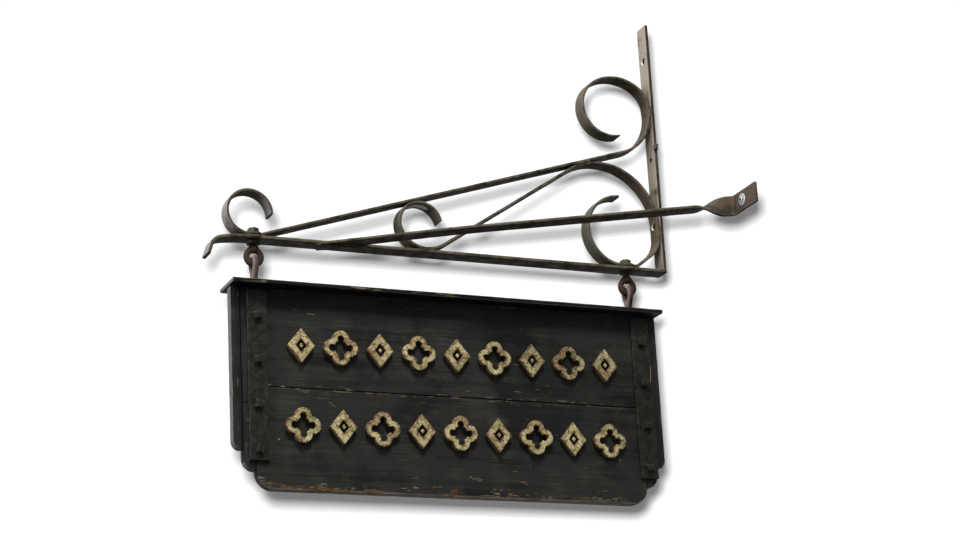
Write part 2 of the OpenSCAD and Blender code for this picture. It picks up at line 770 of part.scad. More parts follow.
module strap_bolts(x) color(paint) {
    for (drop = strap_bolt_drops) {
        translate([x, -strap_face_y, -drop]) rotate([90, 0, 0]) square_head(strap_head_h);
        bar_y([x, -strap_face_y, -drop], strap_bolt_d,
              2 * strap_face_y + strap_nut_h + strap_bolt_out);
    }
}

module strap_nuts(x) color(paint) difference() {
    for (drop = strap_bolt_drops)
        translate([x, strap_face_y, -drop]) rotate([-90, 0, 0]) square_head(strap_nut_h);
    for (drop = strap_bolt_drops)
        bar_y([x, strap_face_y - over, -drop], strap_bolt_d + 2 * hole_gap,
              strap_nut_h + 2 * over);
}

// Lozenge border with a small lozenge inside it
module lozenge() {
    half = [lozenge_w / 2, motif_h / 2];
    rim = lozenge_rim * norm(half);
    inner = [half.x - rim / half.y, half.y - rim / half.x];
    difference() {
        lozenge_plate(half, motif_t);
        translate([0, 0, -over]) lozenge_plate(inner, motif_t + 2 * over);
    }
    lozenge_plate(inner * lozenge_core, motif_t);
}

module lozenge_plate(half, height) {
    linear_extrude(height = height)
        polygon([[half.x, 0], [0, half.y], [-half.x, 0], [0, -half.y]]);
}

// Quatrefoil border: four round lobes, with an opening in each that is joined
// to a round one in the middle
module quatrefoil() {
    lobe_r = motif_h / 4;
    difference() {
        foils(lobe_r, lobe_r, motif_t);
        translate([0, 0, -over])
            foils(lobe_r - quatrefoil_rim, lobe_r * sqrt(2) - quatrefoil_rim, motif_t + 2 * over);
    }
}

// Four round foils about a round middle
module foils(foil_r, middle_r, height) {
    for (turn = [0:90:270]) rotate([0, 0, turn]) translate([motif_h / 4, 0, 0])
        cylinder(r = foil_r, h = height);
    cylinder(r = middle_r, h = height);
}

// One row of ornament on the front (side -1) or the rear (side 1); the rows
// start with the other shape from each other
module ornament(row, side) color(gilt) {
    for (i = [0:motif_n - 1])
        translate([motif_mid + (i - (motif_n - 1) / 2) * motif_pitch,
                   side < 0 ? -face_y : face_y + motif_t, -row_drops[row]])
            rotate([90, 0, 0])
            if ((i + row) % 2 == 0) lozenge(); else quatrefoil();
}

lifted() wall_bar();
lifted() arm_bar();
lifted() seat_strip(tip_scroll_pose, tip_scroll_path, 0);  // tip_scroll_strip
lifted() free_strip(upper_run_pose, upper_run_path);  // upper_run_strip
lifted() free_strip(top_scroll_pose, top_scroll_path);  // top_scroll_strip
lifted() seat_strip(foot_scroll_pose, foot_scroll_path, 1);  // foot_scroll_strip
lifted() arch_strip();
lifted() free_strip(diagonal_pose, diagonal_path);  // diagonal_strip
lifted() free_strip(small_scroll_pose, small_scroll_path);  // small_scroll_strip
lifted() stay_bar();
lifted() stay_screw();
lifted() stay_washer();
lifted() arm_eye(0);  // left_eye_bolt
lifted() arm_eye(1);  // right_eye_bolt
lifted() eye_nut(0);  // left_eye_nut
lifted() eye_nut(1);  // right_eye_nut
lifted() eye_washer(0);  // left_eye_washer
lifted() eye_washer(1);  // right_eye_washer
lifted() sign_eye(0);  // left_sign_eye
lifted() sign_eye(1);  // right_sign_eye
lifted() cap_board();
lifted() cap_nails();
lifted() upper_plank();
lifted() lower_plank();
lifted() plank_tongue();
lifted() outer_stile();  // left_outer_stile
lifted() other_end() outer_stile();  // right_outer_stile
lifted() left_inner_stile(board_top, stile_joint);  // left_inner_stile_upper
lifted() left_inner_stile(stile_joint + joint_gap, inner_stile_end);  // left_inner_stile_lower
lifted() right_inner_stile();
lifted() stile_dowels();  // left_stile_dowels
lifted() other_end() stile_dowels();  // right_stile_dowels
lifted() strap(strap_left, -1);  // front_left_strap
lifted() strap(strap_right, -1);  // front_right_strap
lifted() strap(strap_left, 1);  // rear_left_strap
lifted() strap(strap_right, 1);  // rear_right_strap
lifted() strap_bolts(strap_left);  // left_strap_bolts
lifted() strap_bolts(strap_right);  // right_strap_bolts
lifted() strap_nuts(strap_left);  // left_strap_nuts
lifted() strap_nuts(strap_right);  // right_strap_nuts
lifted() ornament(0, -1);  // front_upper_ornament
lifted() ornament(1, -1);  // front_lower_ornament
lifted() ornament(0, 1);  // rear_upper_ornament
lifted() ornament(1, 1);  // rear_lower_ornament
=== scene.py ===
"""Looks of a double-sided hanging sign on a scrolled iron wall bracket.

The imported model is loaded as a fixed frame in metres: the wall is the plane X = 0, the arm and
the board reach out along -X, and Z is up. Heights are counted from the underside of the arm, as
a smith would, and are lowered by ORIGIN_H where points are made. Each class dresses one
sub-assembly: it puts forged, worn and painted surfaces in the place of the plain solids, and
keeps those that are out of sight.
"""

import json
import logging
from collections.abc import Sequence
from dataclasses import dataclass, replace
from enum import Enum
from itertools import product
from math import asin, atan2, ceil, copysign, cos, degrees, hypot, pi, radians, sin, sqrt, tan

import bpy
import numpy as np
from mathutils import Matrix, Vector

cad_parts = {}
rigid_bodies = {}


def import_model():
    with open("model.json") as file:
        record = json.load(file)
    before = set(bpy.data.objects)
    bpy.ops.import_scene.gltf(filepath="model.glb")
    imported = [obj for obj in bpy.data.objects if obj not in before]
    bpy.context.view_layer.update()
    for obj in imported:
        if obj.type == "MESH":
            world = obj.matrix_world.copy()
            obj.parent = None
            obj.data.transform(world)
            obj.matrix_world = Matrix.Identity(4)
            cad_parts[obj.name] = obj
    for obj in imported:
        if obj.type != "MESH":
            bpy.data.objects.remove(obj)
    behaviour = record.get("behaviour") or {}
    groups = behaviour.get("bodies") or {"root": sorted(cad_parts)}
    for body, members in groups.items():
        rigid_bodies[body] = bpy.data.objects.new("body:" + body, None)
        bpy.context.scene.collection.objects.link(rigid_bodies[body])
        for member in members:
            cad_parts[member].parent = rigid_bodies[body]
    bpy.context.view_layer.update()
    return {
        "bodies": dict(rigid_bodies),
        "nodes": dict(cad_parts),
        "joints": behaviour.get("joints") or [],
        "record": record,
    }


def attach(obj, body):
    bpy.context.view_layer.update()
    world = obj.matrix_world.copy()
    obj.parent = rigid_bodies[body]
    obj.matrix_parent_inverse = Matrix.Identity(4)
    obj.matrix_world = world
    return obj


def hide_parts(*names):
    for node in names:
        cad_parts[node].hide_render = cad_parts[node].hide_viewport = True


log = logging.getLogger("sign")

Array = np.ndarray
Socket = bpy.types.NodeSocket
Material = bpy.types.Material
Floats = Sequence[float]
Pair = tuple[float, float]
Triple = tuple[float, float, float]

MM = 0.001
X_AXIS, Y_AXIS, Z_AXIS = np.eye(3)

# Sizes and places that several sub-assemblies share
ORIGIN_H = 243 * MM
EYE_XS = (-738 * MM, -71 * MM)
ROD_R = 4.75 * MM
BOARD_HALF_T = 8 * MM
STRAP_T = 5 * MM
CAP_HALF_W = 35 * MM
SEAM_H = -241.5 * MM
FOOT_H = -407 * MM

# Places round half an arris, points round a rod, and points round a turned solid
ARRIS_PLACES = 4
ROD_SIDES = 16
TURNED_SIDES = 48

# A lattice corner's value is the fraction of NOISE_GAIN sin(corner . NOISE_MIX + seed)
NOISE_SHIFT = 13.7
NOISE_MIX = (12.9898, 78.233, 37.719)
NOISE_GAIN = 43758.5453


class Face(Enum):
    """The two faces of the board, by the direction in which they look along Y."""

    FRONT = -1
    REAR = 1


class End(Enum):
    """The two ends of the board."""

    LEFT = "left"
    RIGHT = "right"


class Body(Enum):
    """The two bodies of the part, by their names in the frame."""

    BRACKET = "bracket"
    SIGN = "sign"


def lifted(x: float, y: float, height: float) -> Array:
    """The point of the frame at a height above the arm's underside."""
    return np.array([x, y, height - ORIGIN_H])


def ease(part: Array) -> Array:
    """The cubic ease 3t^2 - 2t^3 of shares from 0 to 1."""
    return part * part * (3 - 2 * part)


def smooth_noise(points: Array, cell: Floats | float, seed: int) -> Array:
    """Smooth noise: random values on a lattice, blended with the cubic ease.

    Args:
        points: places, n by 3.
        cell: size of a lattice cell, one size or three.
        seed: picks another pattern.

    Returns:
        n values from -1 to 1.
    """
    scaled = points / np.asarray(cell) + NOISE_SHIFT * seed
    base = np.floor(scaled)
    share = ease(scaled - base)
    total = np.zeros(len(points))
    for corner in product((0, 1), repeat=3):
        weight = np.prod(np.where(corner, share, 1 - share), axis=1)
        lattice = np.sin((base + corner) @ NOISE_MIX + seed) * NOISE_GAIN
        total += weight * (lattice - np.floor(lattice))
    return 2 * total - 1


def layered_noise(points: Array, cell: Floats | float, seed: int, layers: int = 3) -> Array:
    """Smooth noise with finer and fainter layers on top, each half the size of the last.

    Args:
        points: places, n by 3.
        cell: size of the coarsest layer's cell, one size or three.
        seed: picks another pattern.
        layers: how many layers there are.

    Returns:
        n values from about -1 to 1.
    """
    sizes = np.asarray(cell, float)
    total = sum(smooth_noise(points, sizes / 2**k, seed + k) / 2**k for k in range(layers))
    return total / (2 - 2.0 ** (1 - layers))


@dataclass
class Skin:
    """A closed surface of quads, with how worn it is at each vertex, from 0 to 1."""

    points: Array
    faces: Array
    wear: Array

    def normals(self) -> Array:
        """Unit normals at the vertices: the mean of the crossed diagonals of the quads there."""
        a, b, c, d = (self.points[self.faces[:, k]] for k in range(4))
        crossed = np.cross(c - a, d - b)
        total = np.zeros_like(self.points)
        for k in range(4):
            np.add.at(total, self.faces[:, k], crossed)
        return total / np.maximum(np.linalg.norm(total, axis=1, keepdims=True), 1e-12)

    def outward(self) -> "Skin":
        """The same skin with its faces turned outwards, by the sign of its volume."""
        a, b, c, d = (self.points[self.faces[:, k]] for k in range(4))
        volume = np.sum(a * np.cross(b, c)) + np.sum(a * np.cross(c, d))
        return self if volume > 0 else replace(self, faces=self.faces[:, ::-1])

    def pushed(self, depth: Array) -> "Skin":
        """The same skin with each vertex moved along its normal by its own depth."""
        return replace(self, points=self.points + self.normals() * depth[:, None])

    def roughened(self, depth: float, cell: Floats | float, seed: int) -> "Skin":
        """The same skin with layered noise of that depth along its normals."""
        return self.pushed(depth * layered_noise(self.points, cell, seed))

    def shifted(self, shift: Floats) -> "Skin":
        """The same skin in another place."""
        return replace(self, points=self.points + shift)

    def moved(self, turn: Array, shift: Floats) -> "Skin":
        """The same skin turned or mirrored by a 3 by 3 matrix and then shifted."""
        return replace(self, points=self.points @ turn.T + shift).outward()


def joined(skins: Sequence[Skin]) -> Skin:
    """One skin with the vertices and faces of several, which stay apart from each other."""
    starts = np.cumsum([0] + [len(s.points) for s in skins[:-1]])
    return Skin(np.concatenate([s.points for s in skins]),
                np.concatenate([s.faces + first for s, first in zip(skins, starts)]),
                np.concatenate([s.wear for s in skins]))


def ring_skin(rings: Array, wear: Array, closed: bool = False) -> Skin:
    """A skin over rings of points, one after another along a path.

    An open row of rings is shut at both ends by quads that join the ring's first half to its
    second half. A closed one joins its last ring to its first.

    Args:
        rings: r rings of n points each, n even, r by n by 3.
        wear: how worn each point is, r by n.
        closed: whether the path comes back to its start.

    Returns:
        The closed skin.
    """
    count, n = rings.shape[:2]
    ids = np.arange(count * n).reshape(count, n)
    rows = np.arange(count if closed else count - 1)
    first, second = ids[rows], ids[(rows + 1) % count]
    sides = np.stack([first, second, np.roll(second, -1, 1), np.roll(first, -1, 1)], axis=-1)
    faces = [sides.reshape(-1, 4)]
    if not closed:
        k = np.arange(n // 2 - 1)
        lid = np.stack([k, k + 1, n - 2 - k, n - 1 - k], axis=-1)
        faces += [lid, ids[-1, lid][:, ::-1]]
    return Skin(rings.reshape(-1, 3), np.concatenate(faces), wear.ravel()).outward()


def arris_steps(low: float, high: float, round_r: float, step: float) -> Array:
    """Places along an edge of a box, close together where its rounded corners are.

    Within round_r of each end they stand at round_r times 1 - tan of equal angles from 45
    degrees to 0, which spaces them evenly round the arris.

    Args:
        low: where the edge starts.
        high: where it ends.
        round_r: radius of the arris.
        step: largest distance between places on the flat.

    Returns:
        The places in order.
    """
    near = round_r * (1 - np.tan(np.linspace(pi / 4, 0, ARRIS_PLACES)))
    flat = high - low - 2 * round_r
    between = np.linspace(0, flat, max(2, ceil(flat / step) + 1))[1:-1]
    return np.concatenate([low + near, low + round_r + between, (high - near)[::-1]])


def box_skin(low: Floats, high: Floats, round_r: float, steps: Floats,
             wear_width: float = 4 * MM) -> Skin:
    """A box with rounded arrises and a fine grid on its faces.

    Each point of the grid is set round_r away from the nearest point of the box shrunk by
    round_r. Wear is exp(-d / wear_width) at the distance d from the nearest arris.

    Args:
        low: the box's least corner.
        high: its greatest corner.
        round_r: radius of its arrises.
        steps: largest grid steps along X, Y and Z.
        wear_width: how far the wear of an arris reaches.

    Returns:
        The closed skin.
    """
    lines = [arris_steps(low[k], high[k], round_r, steps[k]) for k in range(3)]
    sizes = [len(line) for line in lines]
    strides = (sizes[1] * sizes[2], sizes[2], 1)
    quads = []
    for axis in range(3):
        u, v = [k for k in range(3) if k != axis]
        grid = np.add.outer(np.arange(sizes[u]) * strides[u], np.arange(sizes[v]) * strides[v])
        for end in (0, sizes[axis] - 1):
            ids = grid + end * strides[axis]
            quad = np.stack([ids[:-1, :-1], ids[1:, :-1], ids[1:, 1:], ids[:-1, 1:]], axis=-1)
            turned = (end == 0) == (axis == 1)
            quads.append(quad.reshape(-1, 4) if turned else quad.reshape(-1, 4)[:, ::-1])
    used, faces = np.unique(np.concatenate(quads), return_inverse=True)
    cells = np.stack(np.unravel_index(used, sizes), axis=-1)
    points = np.stack([lines[k][cells[:, k]] for k in range(3)], axis=-1)
    inner = np.clip(points, np.add(low, round_r), np.subtract(high, round_r))
    away = points - inner
    rounded = inner + round_r * away / np.linalg.norm(away, axis=1, keepdims=True)
    near = np.sort(np.minimum(points - low, np.subtract(high, points)), axis=1)[:, 1]
    return Skin(rounded, faces.reshape(-1, 4), np.exp(-near / wear_width)).outward()


def corner_rounded(skin: Skin, x: float, height: float, inward: int, round_r: float) -> Skin:
    """A plate in the XZ plane with one of its lower corners rounded.

    In the corner's square the point at (a, b) from the arc's centre moves to (a, b) times
    max(a, b) / sqrt(a^2 + b^2), which takes the square to a quarter of a disc.

    Args:
        skin: the plate.
        x: the corner's X.
        height: its height.
        inward: 1 where the plate lies on the +X side of the corner, otherwise -1.
        round_r: radius of the rounding.

    Returns:
        The plate with the corner rounded.
    """
    outward = np.array([-inward, -1])
    centre = np.array([x, height - ORIGIN_H]) - outward * round_r
    away = (skin.points[:, [0, 2]] - centre) * outward
    within = (away > 0).all(axis=1)
    share = away.max(axis=1) / np.maximum(np.hypot(*away.T), 1e-12)
    flat = centre + away * share[:, None] * outward
    points = skin.points.copy()
    points[within, 0], points[within, 2] = flat[within].T
    return replace(skin, points=points)


def bar_rings(centres: Array, across: Array, through: Array, half_w: Array,
              half_t: Array | float, round_r: Array | float) -> tuple[Array, Array]:
    """Rings of a flat bar along a path, whose section is a rectangle with rounded corners.

    A point of the section stands at side times (half - r) plus r times the cosine or the sine
    of its angle, across the width and through the thickness.

    Args:
        centres: the path's points.
        across: direction of the bar's width, one for all rings or one for each.
        through: direction of its thickness, one or one for each.
        half_w: half the width at each ring.
        half_t: half the thickness, one or one for each.
        round_r: radius of the section's corners, one or one for each.

    Returns:
        The rings, and how near each of their points is to an edge, from 0 to 1.
    """
    wide, arc = 8, 3
    turn = np.radians(np.linspace(0, 90, arc + 1))
    corners = []
    for k, (sign_w, sign_t) in enumerate([(1, 1), (-1, 1), (-1, -1), (1, -1)]):
        angle = turn + k * pi / 2
        corners.append(np.stack([np.full(arc + 1, sign_w), np.cos(angle),
                                 np.full(arc + 1, sign_t), np.sin(angle)], axis=-1))
    face = np.linspace(1, -1, wide + 1)[1:-1]
    zero, one = 0 * face, np.ones(len(face))
    top = np.stack([face, zero, one, one], axis=-1)
    under = np.stack([-face, zero, -one, -one], axis=-1)
    table = np.concatenate([corners[0], top, corners[1], corners[2], under, corners[3]])
    side_w, round_w, side_t, round_t = table.T
    half_w, half_t, radius = (np.broadcast_to(size, len(centres))[:, None]
                              for size in (half_w, half_t, round_r))
    place_w = (half_w - radius) * side_w + radius * round_w
    place_t = (half_t - radius) * side_t + radius * round_t
    across, through = (np.broadcast_to(way, centres.shape)[:, None] for way in (across, through))
    rings = centres[:, None] + place_w[..., None] * across + place_t[..., None] * through
    near = np.exp(-2.5 * (1 - np.abs(side_w)))
    return rings, np.broadcast_to(near, place_w.shape)


def cut_to_plane(ring: Array, along: Array, point: Floats, normal: Floats) -> Array:
    """A ring slid along the bar until all of it lies in the plane of a point and a normal."""
    distance = (np.subtract(point, ring) @ np.asarray(normal)) / (along @ np.asarray(normal))
    return ring + distance[:, None] * along


def ends_drawn_in(stations: Array, radius: float) -> Array:
    """How much thinner a bar is near its rounded ends: radius - sqrt(radius^2 - d^2).

    Args:
        stations: distances along the bar, from its start to its end.
        radius: radius of the rounded ends.

    Returns:
        What is taken off at each station, on each side.
    """
    near = np.minimum(stations - stations[0], stations[-1] - stations)
    depth = np.clip(radius - near, 0, radius)
    return radius - np.sqrt(np.maximum(radius**2 - depth**2, 0))


def stations_of(length: float, step: float, end_r: float) -> Array:
    """Distances along a bar at which it gets a ring, close together at its rounded ends.

    Args:
        length: the bar's length.
        step: largest distance between rings.
        end_r: radius of its rounded ends, 0 where they are cut square.

    Returns:
        The distances in order.
    """
    flat = np.linspace(end_r, length - end_r, ceil((length - 2 * end_r) / step) + 1)
    if end_r == 0:
        return flat
    near = end_r * (1 - np.cos(np.radians([14, 38, 64])))
    return np.concatenate([near, flat, length - near[::-1]])


@dataclass(frozen=True)
class Bend:
    """One step of a bent bar: a straight length in metres where radius is 0, else degrees."""

    radius: float
    amount: float

    def length(self) -> float:
        """Length of the bar's middle line in this step."""
        return self.amount if self.radius == 0 else self.radius * radians(abs(self.amount))

    def after(self, pose: Triple, part: float = 1) -> Triple:
        """The pose after this step, or a part of it.

        Args:
            pose: x, height and heading in degrees before it.
            part: how much of the step is gone.

        Returns:
            The new pose.
        """
        x, h, heading = pose
        start = radians(heading)
        if self.radius == 0:
            run = self.amount * part
            return x + run * cos(start), h + run * sin(start), heading
        turned = heading + self.amount * part
        end = radians(turned)
        side = copysign(self.radius, self.amount)
        return x + side * (sin(end) - sin(start)), h - side * (cos(end) - cos(start)), turned


@dataclass
class BentBar:
    """A flat bar bent along straight lines and arcs in the plane Y = 0."""

    start: Triple
    bends: list[Bend]
    width: float
    thickness: float
    waver: float = 0.35 * MM
    waver_cell: float = 24 * MM

    def pose_at(self, step: int, part: float = 0) -> Triple:
        """The pose within one of the steps.

        Args:
            step: the step's number, from 0.
            part: how much of it is gone.

        Returns:
            The pose.
        """
        pose = self.start
        for bend in self.bends[:step]:
            pose = bend.after(pose)
        return self.bends[step].after(pose, part)

    def poses(self, stations: Array) -> Array:
        """Poses of the middle line at distances along it.

        Args:
            stations: the distances.

        Returns:
            Rows of x, height and heading in degrees.
        """
        poses, pose, start = [], self.start, 0.0
        for bend in self.bends:
            length = bend.length()
            last = bend is self.bends[-1]
            here = stations[(stations >= start) & ((stations < start + length) | last)]
            poses += [bend.after(pose, (s - start) / length) for s in here]
            pose, start = bend.after(pose), start + length
        return np.array(poses)

    def length(self) -> float:
        """Length of the whole middle line."""
        return sum(bend.length() for bend in self.bends)

    def skin(self, round_r: float, end_r: float, taper: float = 0, taper_len: float = 0,
             nose_r: float = 0, cut: tuple[Floats, Floats] | None = None) -> Skin:
        """The bar's skin, forged: its faces and edges waver a little.

        Args:
            round_r: radius of its long edges.
            end_r: radius of its rounded ends.
            taper: what the free end is drawn thinner by, on each side.
            taper_len: length of that taper.
            nose_r: radius of the free end's corners, seen from above.
            cut: a point and the normal of the plane that the bar's start is cut to.

        Returns:
            The closed skin, in the frame.
        """
        stations = stations_of(self.length(), 3 * MM, end_r)
        if nose_r:
            fine = self.length() - nose_r * (1 - np.cos(np.linspace(0.3, 1.57, 9)))
            stations = np.unique(np.concatenate([stations, fine]))
        x, height, heading = self.poses(stations).T
        angle = np.radians(heading)
        centres = np.stack([x, 0 * x, height - ORIGIN_H], axis=-1)
        through = np.stack([-np.sin(angle), 0 * x, np.cos(angle)], axis=-1)
        drawn = ends_drawn_in(stations, end_r)
        left = self.length() - stations
        round_off = nose_r - np.sqrt(nose_r**2 - np.clip(nose_r - left, 0, nose_r) ** 2)
        if cut is not None:
            drawn = np.where(stations < self.length() / 2, 0, drawn)
        thin = taper * np.clip(1 - left / taper_len, 0, 1) ** 2 if taper_len else 0 * left
        waver = self.waver * smooth_noise(centres, self.waver_cell, 5)
        half_t = self.thickness / 2 - drawn - thin
        half_w = self.width / 2 - np.maximum(drawn, round_off) + waver
        rings, near = bar_rings(centres, Y_AXIS, through, half_w, half_t, np.minimum(round_r, half_t))
        if cut is not None:
            along = np.array([cos(angle[0]), 0, sin(angle[0])])
            rings[0] = cut_to_plane(rings[0], along, *cut)
        return ring_skin(rings, near)


def turned_skin(profile: Sequence[Floats], sides: int = 0, power: float = 1,
                count: int = TURNED_SIDES) -> Skin:
    """A turned or many-sided solid about the Z axis.

    At the angle a its radius is r / (sum over the sides of max(cos(a - side), 0)^p)^(1/p),
    a polygon of inner radius r with rounded corners.

    Args:
        profile: radii and heights, from the bottom up.
        sides: number of flat sides, 0 where it is round.
        power: the formula's p, which sharpens the corners.
        count: points round each ring.

    Returns:
        The closed skin.
    """
    angle = (np.arange(count) + 0.5) * 2 * pi / count
    factor = np.ones(count)
    if sides:
        away = np.cos(angle[:, None] - np.arange(sides) * 2 * pi / sides)
        factor = np.sum(np.maximum(away, 0) ** power, axis=1) ** (-1 / power)
    radius, height = np.array(profile).T
    reach = radius[:, None] * factor
    rings = np.stack([reach * np.cos(angle), reach * np.sin(angle),
                      np.broadcast_to(height[:, None], reach.shape)], axis=-1)
    wear = np.broadcast_to(np.clip((factor - 1) * 3, 0, 1), reach.shape)
    return ring_skin(rings, wear)


def ball(radius: float) -> Skin:
    """A round ball about the origin."""
    turn = np.radians(np.linspace(-84, 84, 15))
    return turned_skin([(radius * cos(a), radius * sin(a)) for a in turn], count=24)


def cap_profile(radius: float, height: float) -> list[Pair]:
    """Profile of a head or nut that stands on Z = 0, with its upper edge turned off."""
    return [(radius + 0.5 * MM, -0.3 * MM), (radius, 0.8 * MM), (radius, 0.7 * height),
            (0.93 * radius, 0.87 * height), (0.78 * radius, 0.97 * height), (0.4 * radius, height)]


def twist(angle: float) -> Array:
    """A turn about Z by an angle in radians, as a matrix."""
    c, s = cos(angle), sin(angle)
    return np.array([[c, -s, 0], [s, c, 0], [0, 0, 1]])


def rod_skin(path: Array, radius: float | Array, normal: Array) -> Skin:
    """A round rod along a path that lies in a plane.

    Args:
        path: the path's points.
        radius: the rod's radius, one for all points or one for each.
        normal: the plane's normal.

    Returns:
        The closed skin.
    """
    along = np.gradient(path, axis=0)
    along /= np.linalg.norm(along, axis=1, keepdims=True)
    side = np.cross(np.broadcast_to(normal, path.shape), along)
    angle = (np.arange(ROD_SIDES) + 0.5) * 2 * pi / ROD_SIDES
    reach = np.broadcast_to(radius, len(path))[:, None, None]
    spokes = np.cos(angle)[:, None] * normal + np.sin(angle)[:, None] * side[:, None]
    return ring_skin(path[:, None] + reach * spokes, np.zeros((len(path), ROD_SIDES)))


def bead(path: Array, radius: float, seed: int) -> Skin:
    """A lumpy weld bead along a straight path, thin at both ends.

    Its radius is the greatest one times sqrt(1.04 - t^2), with t from -1 to 1, and noise.

    Args:
        path: the path's points.
        radius: the greatest radius.
        seed: picks its lumps.

    Returns:
        The closed skin.
    """
    part = np.linspace(-1, 1, len(path))
    swell = np.sqrt(np.clip(1.04 - part**2, 0, 1)) * (1 + 0.22 * smooth_noise(path, 4 * MM, seed))
    along = path[-1] - path[0]
    normal = np.cross(along, X_AXIS if abs(along[0]) < abs(along).max() else Z_AXIS)
    skin = rod_skin(path, radius * swell, normal / np.linalg.norm(normal))
    return skin.roughened(0.5 * MM, 3 * MM, seed)


def quad_mesh(name: str, skin: Skin) -> bpy.types.Mesh:
    """A mesh of a skin's quads, with its wear as an attribute.

    Args:
        name: the mesh's name.
        skin: the skin.

    Returns:
        The mesh.
    """
    mesh = bpy.data.meshes.new(name)
    mesh.from_pydata(skin.points, [], skin.faces)
    wear = mesh.attributes.new("wear", "FLOAT", "POINT")
    wear.data.foreach_set("value", skin.wear.astype(np.float32))
    return mesh


def placed(name: str, data: bpy.types.ID) -> bpy.types.Object:
    """Adds an object to the scene.

    Args:
        name: its name.
        data: its mesh, lamp or camera.

    Returns:
        The object.
    """
    made = bpy.data.objects.new(name, data)
    bpy.context.scene.collection.objects.link(made)
    return made


def fused(skins: Sequence[Skin], cell: float) -> Skin:
    """Skins that run into each other, made one on a grid of small cubes and smoothed.

    Each round of smoothing moves a vertex a share of the way to the mean of its neighbours.

    Args:
        skins: the skins.
        cell: size of the cubes.

    Returns:
        One closed skin.
    """
    rough = placed("fused", quad_mesh("fused", joined(skins)))
    remesh = rough.modifiers.new("fuse", "REMESH")
    remesh.mode, remesh.voxel_size = "VOXEL", cell
    done = rough.evaluated_get(bpy.context.evaluated_depsgraph_get()).to_mesh()
    points = np.empty(3 * len(done.vertices))
    done.vertices.foreach_get("co", points)
    faces = np.empty(len(done.loops), np.int32)
    done.loops.foreach_get("vertex_index", faces)
    bpy.data.objects.remove(rough)
    skin = Skin(points.reshape(-1, 3), faces.reshape(-1, 4), np.zeros(len(points) // 3))
    rounds, share = 3, 0.55
    for _ in range(rounds):
        total, ties = np.zeros_like(skin.points), np.zeros(len(skin.points))
        for k in range(4):
            np.add.at(total, skin.faces[:, k], skin.points[skin.faces[:, (k + 1) % 4]])
            np.add.at(ties, skin.faces[:, k], 1)
        skin = replace(skin, points=(1 - share) * skin.points + share * total / ties[:, None])
    return skin


def eye_rods(mean_r: float, leg: float, stem: float) -> list[Skin]:
    """The rod of a turned eye in the plane X = 0: its pear-shaped loop and its stem.

    The loop's round end is up and its centre is the origin. Two tangents run from it down to
    the neck, and the stem goes on down from there.

    Args:
        mean_r: radius of the loop's middle line.
        leg: depth of the neck below the loop's centre.
        stem: depth of the stem's end.

    Returns:
        The rods of the loop and the stem, to be fused.
    """
    lean = asin(mean_r / leg)
    angle = np.linspace(-lean, pi + lean, 60)
    arc = np.stack([0 * angle, mean_r * np.cos(angle), mean_r * np.sin(angle)], axis=-1)
    neck = np.array([0, 0, -leg])
    legs = np.linspace(0, 1, 12)[:-1, None]
    path = np.concatenate([neck + legs * (arc[0] - neck), arc, (neck + legs * (arc[-1] - neck))[::-1]])
    stem_path = np.linspace(neck + [0, 0, 2 * MM], [0, 0, -stem], 20)
    radius = np.full(20, ROD_R)
    radius[-3:] *= [0.97, 0.85, 0.55]
    return [rod_skin(path, ROD_R, X_AXIS), rod_skin(stem_path, radius, X_AXIS)]


def rubbed_eye(skin: Skin, mean_r: float, outside: bool) -> Skin:
    """An eye pitted by rust, and rubbed pale at its round end.

    Wear is exp(-d / reach), with d the distance from the rubbed place: the outside of the round
    end, or else its inside, where the other eye hangs. Away from there the rod is a little
    stouter. An eye rubbed outside is also upset at its crown, by 2.2 mm times the ease of the
    height above its middle line.

    Args:
        skin: the eye, with its loop's centre at the origin and its round end up.
        mean_r: radius of the loop's middle line.
        outside: whether it is rubbed outside.

    Returns:
        The worn skin.
    """
    rubbed_h, clear, reach = (mean_r, 5 * MM, 16 * MM) if outside else (mean_r - ROD_R, 0, 8 * MM)
    away = np.linalg.norm(skin.points - [0, 0, rubbed_h], axis=1)
    away = np.maximum(away - clear, 0)
    near = np.linalg.norm(skin.points[:, 1:] - [0, mean_r - 5 * MM], axis=1)
    stout = 0.5 * MM * np.clip(near / (4 * MM) - 1.5, 0, 1)
    depth = 0.10 * MM * layered_noise(skin.points, 4 * MM, 12) - 0.12 * MM + stout
    points = skin.pushed(depth).points
    if outside:
        crown = np.clip((skin.points[:, 2] - mean_r + 2 * MM) / (6 * MM), 0, 1)
        points[:, 2] += 2.2 * MM * ease(crown)
        points[:, 0] *= 1 + 0.15 * (crown > 0)
    return Skin(points, skin.faces, np.exp(-away / reach))


@dataclass(frozen=True)
class Bore:
    """A round hole along X, from a point, whose wall may have a material of its own."""

    start: Array
    radius: float
    depth: float
    wall: Material | None = None

    def line(self, mesh: bpy.types.Mesh, index: int) -> None:
        """Gives the faces of the hole's wall, which stand radius from its axis, a material.

        Args:
            mesh: the bored mesh.
            index: the material's place among the mesh's materials.
        """
        count = len(mesh.polygons)
        centres, normals = np.empty(3 * count), np.empty(3 * count)
        mesh.polygons.foreach_get("center", centres)
        mesh.polygons.foreach_get("normal", normals)
        away = np.hypot(*(centres.reshape(-1, 3)[:, 1:] - self.start[1:]).T)
        slots = np.zeros(count, np.int32)
        mesh.polygons.foreach_get("material_index", slots)
        slots[(away < 1.02 * self.radius) & (np.abs(normals[::3]) < 0.5)] = index
        mesh.polygons.foreach_set("material_index", slots)

    def cutter(self) -> bpy.types.Object:
        """A round cutter for the hole."""
        turn = np.array([[0, 0, 1], [0, 1, 0], [-1, 0, 0]])
        skin = turned_skin([(self.radius, 0), (self.radius, self.depth)])
        return placed("cutter", quad_mesh("cutter", skin.moved(turn, self.start)))


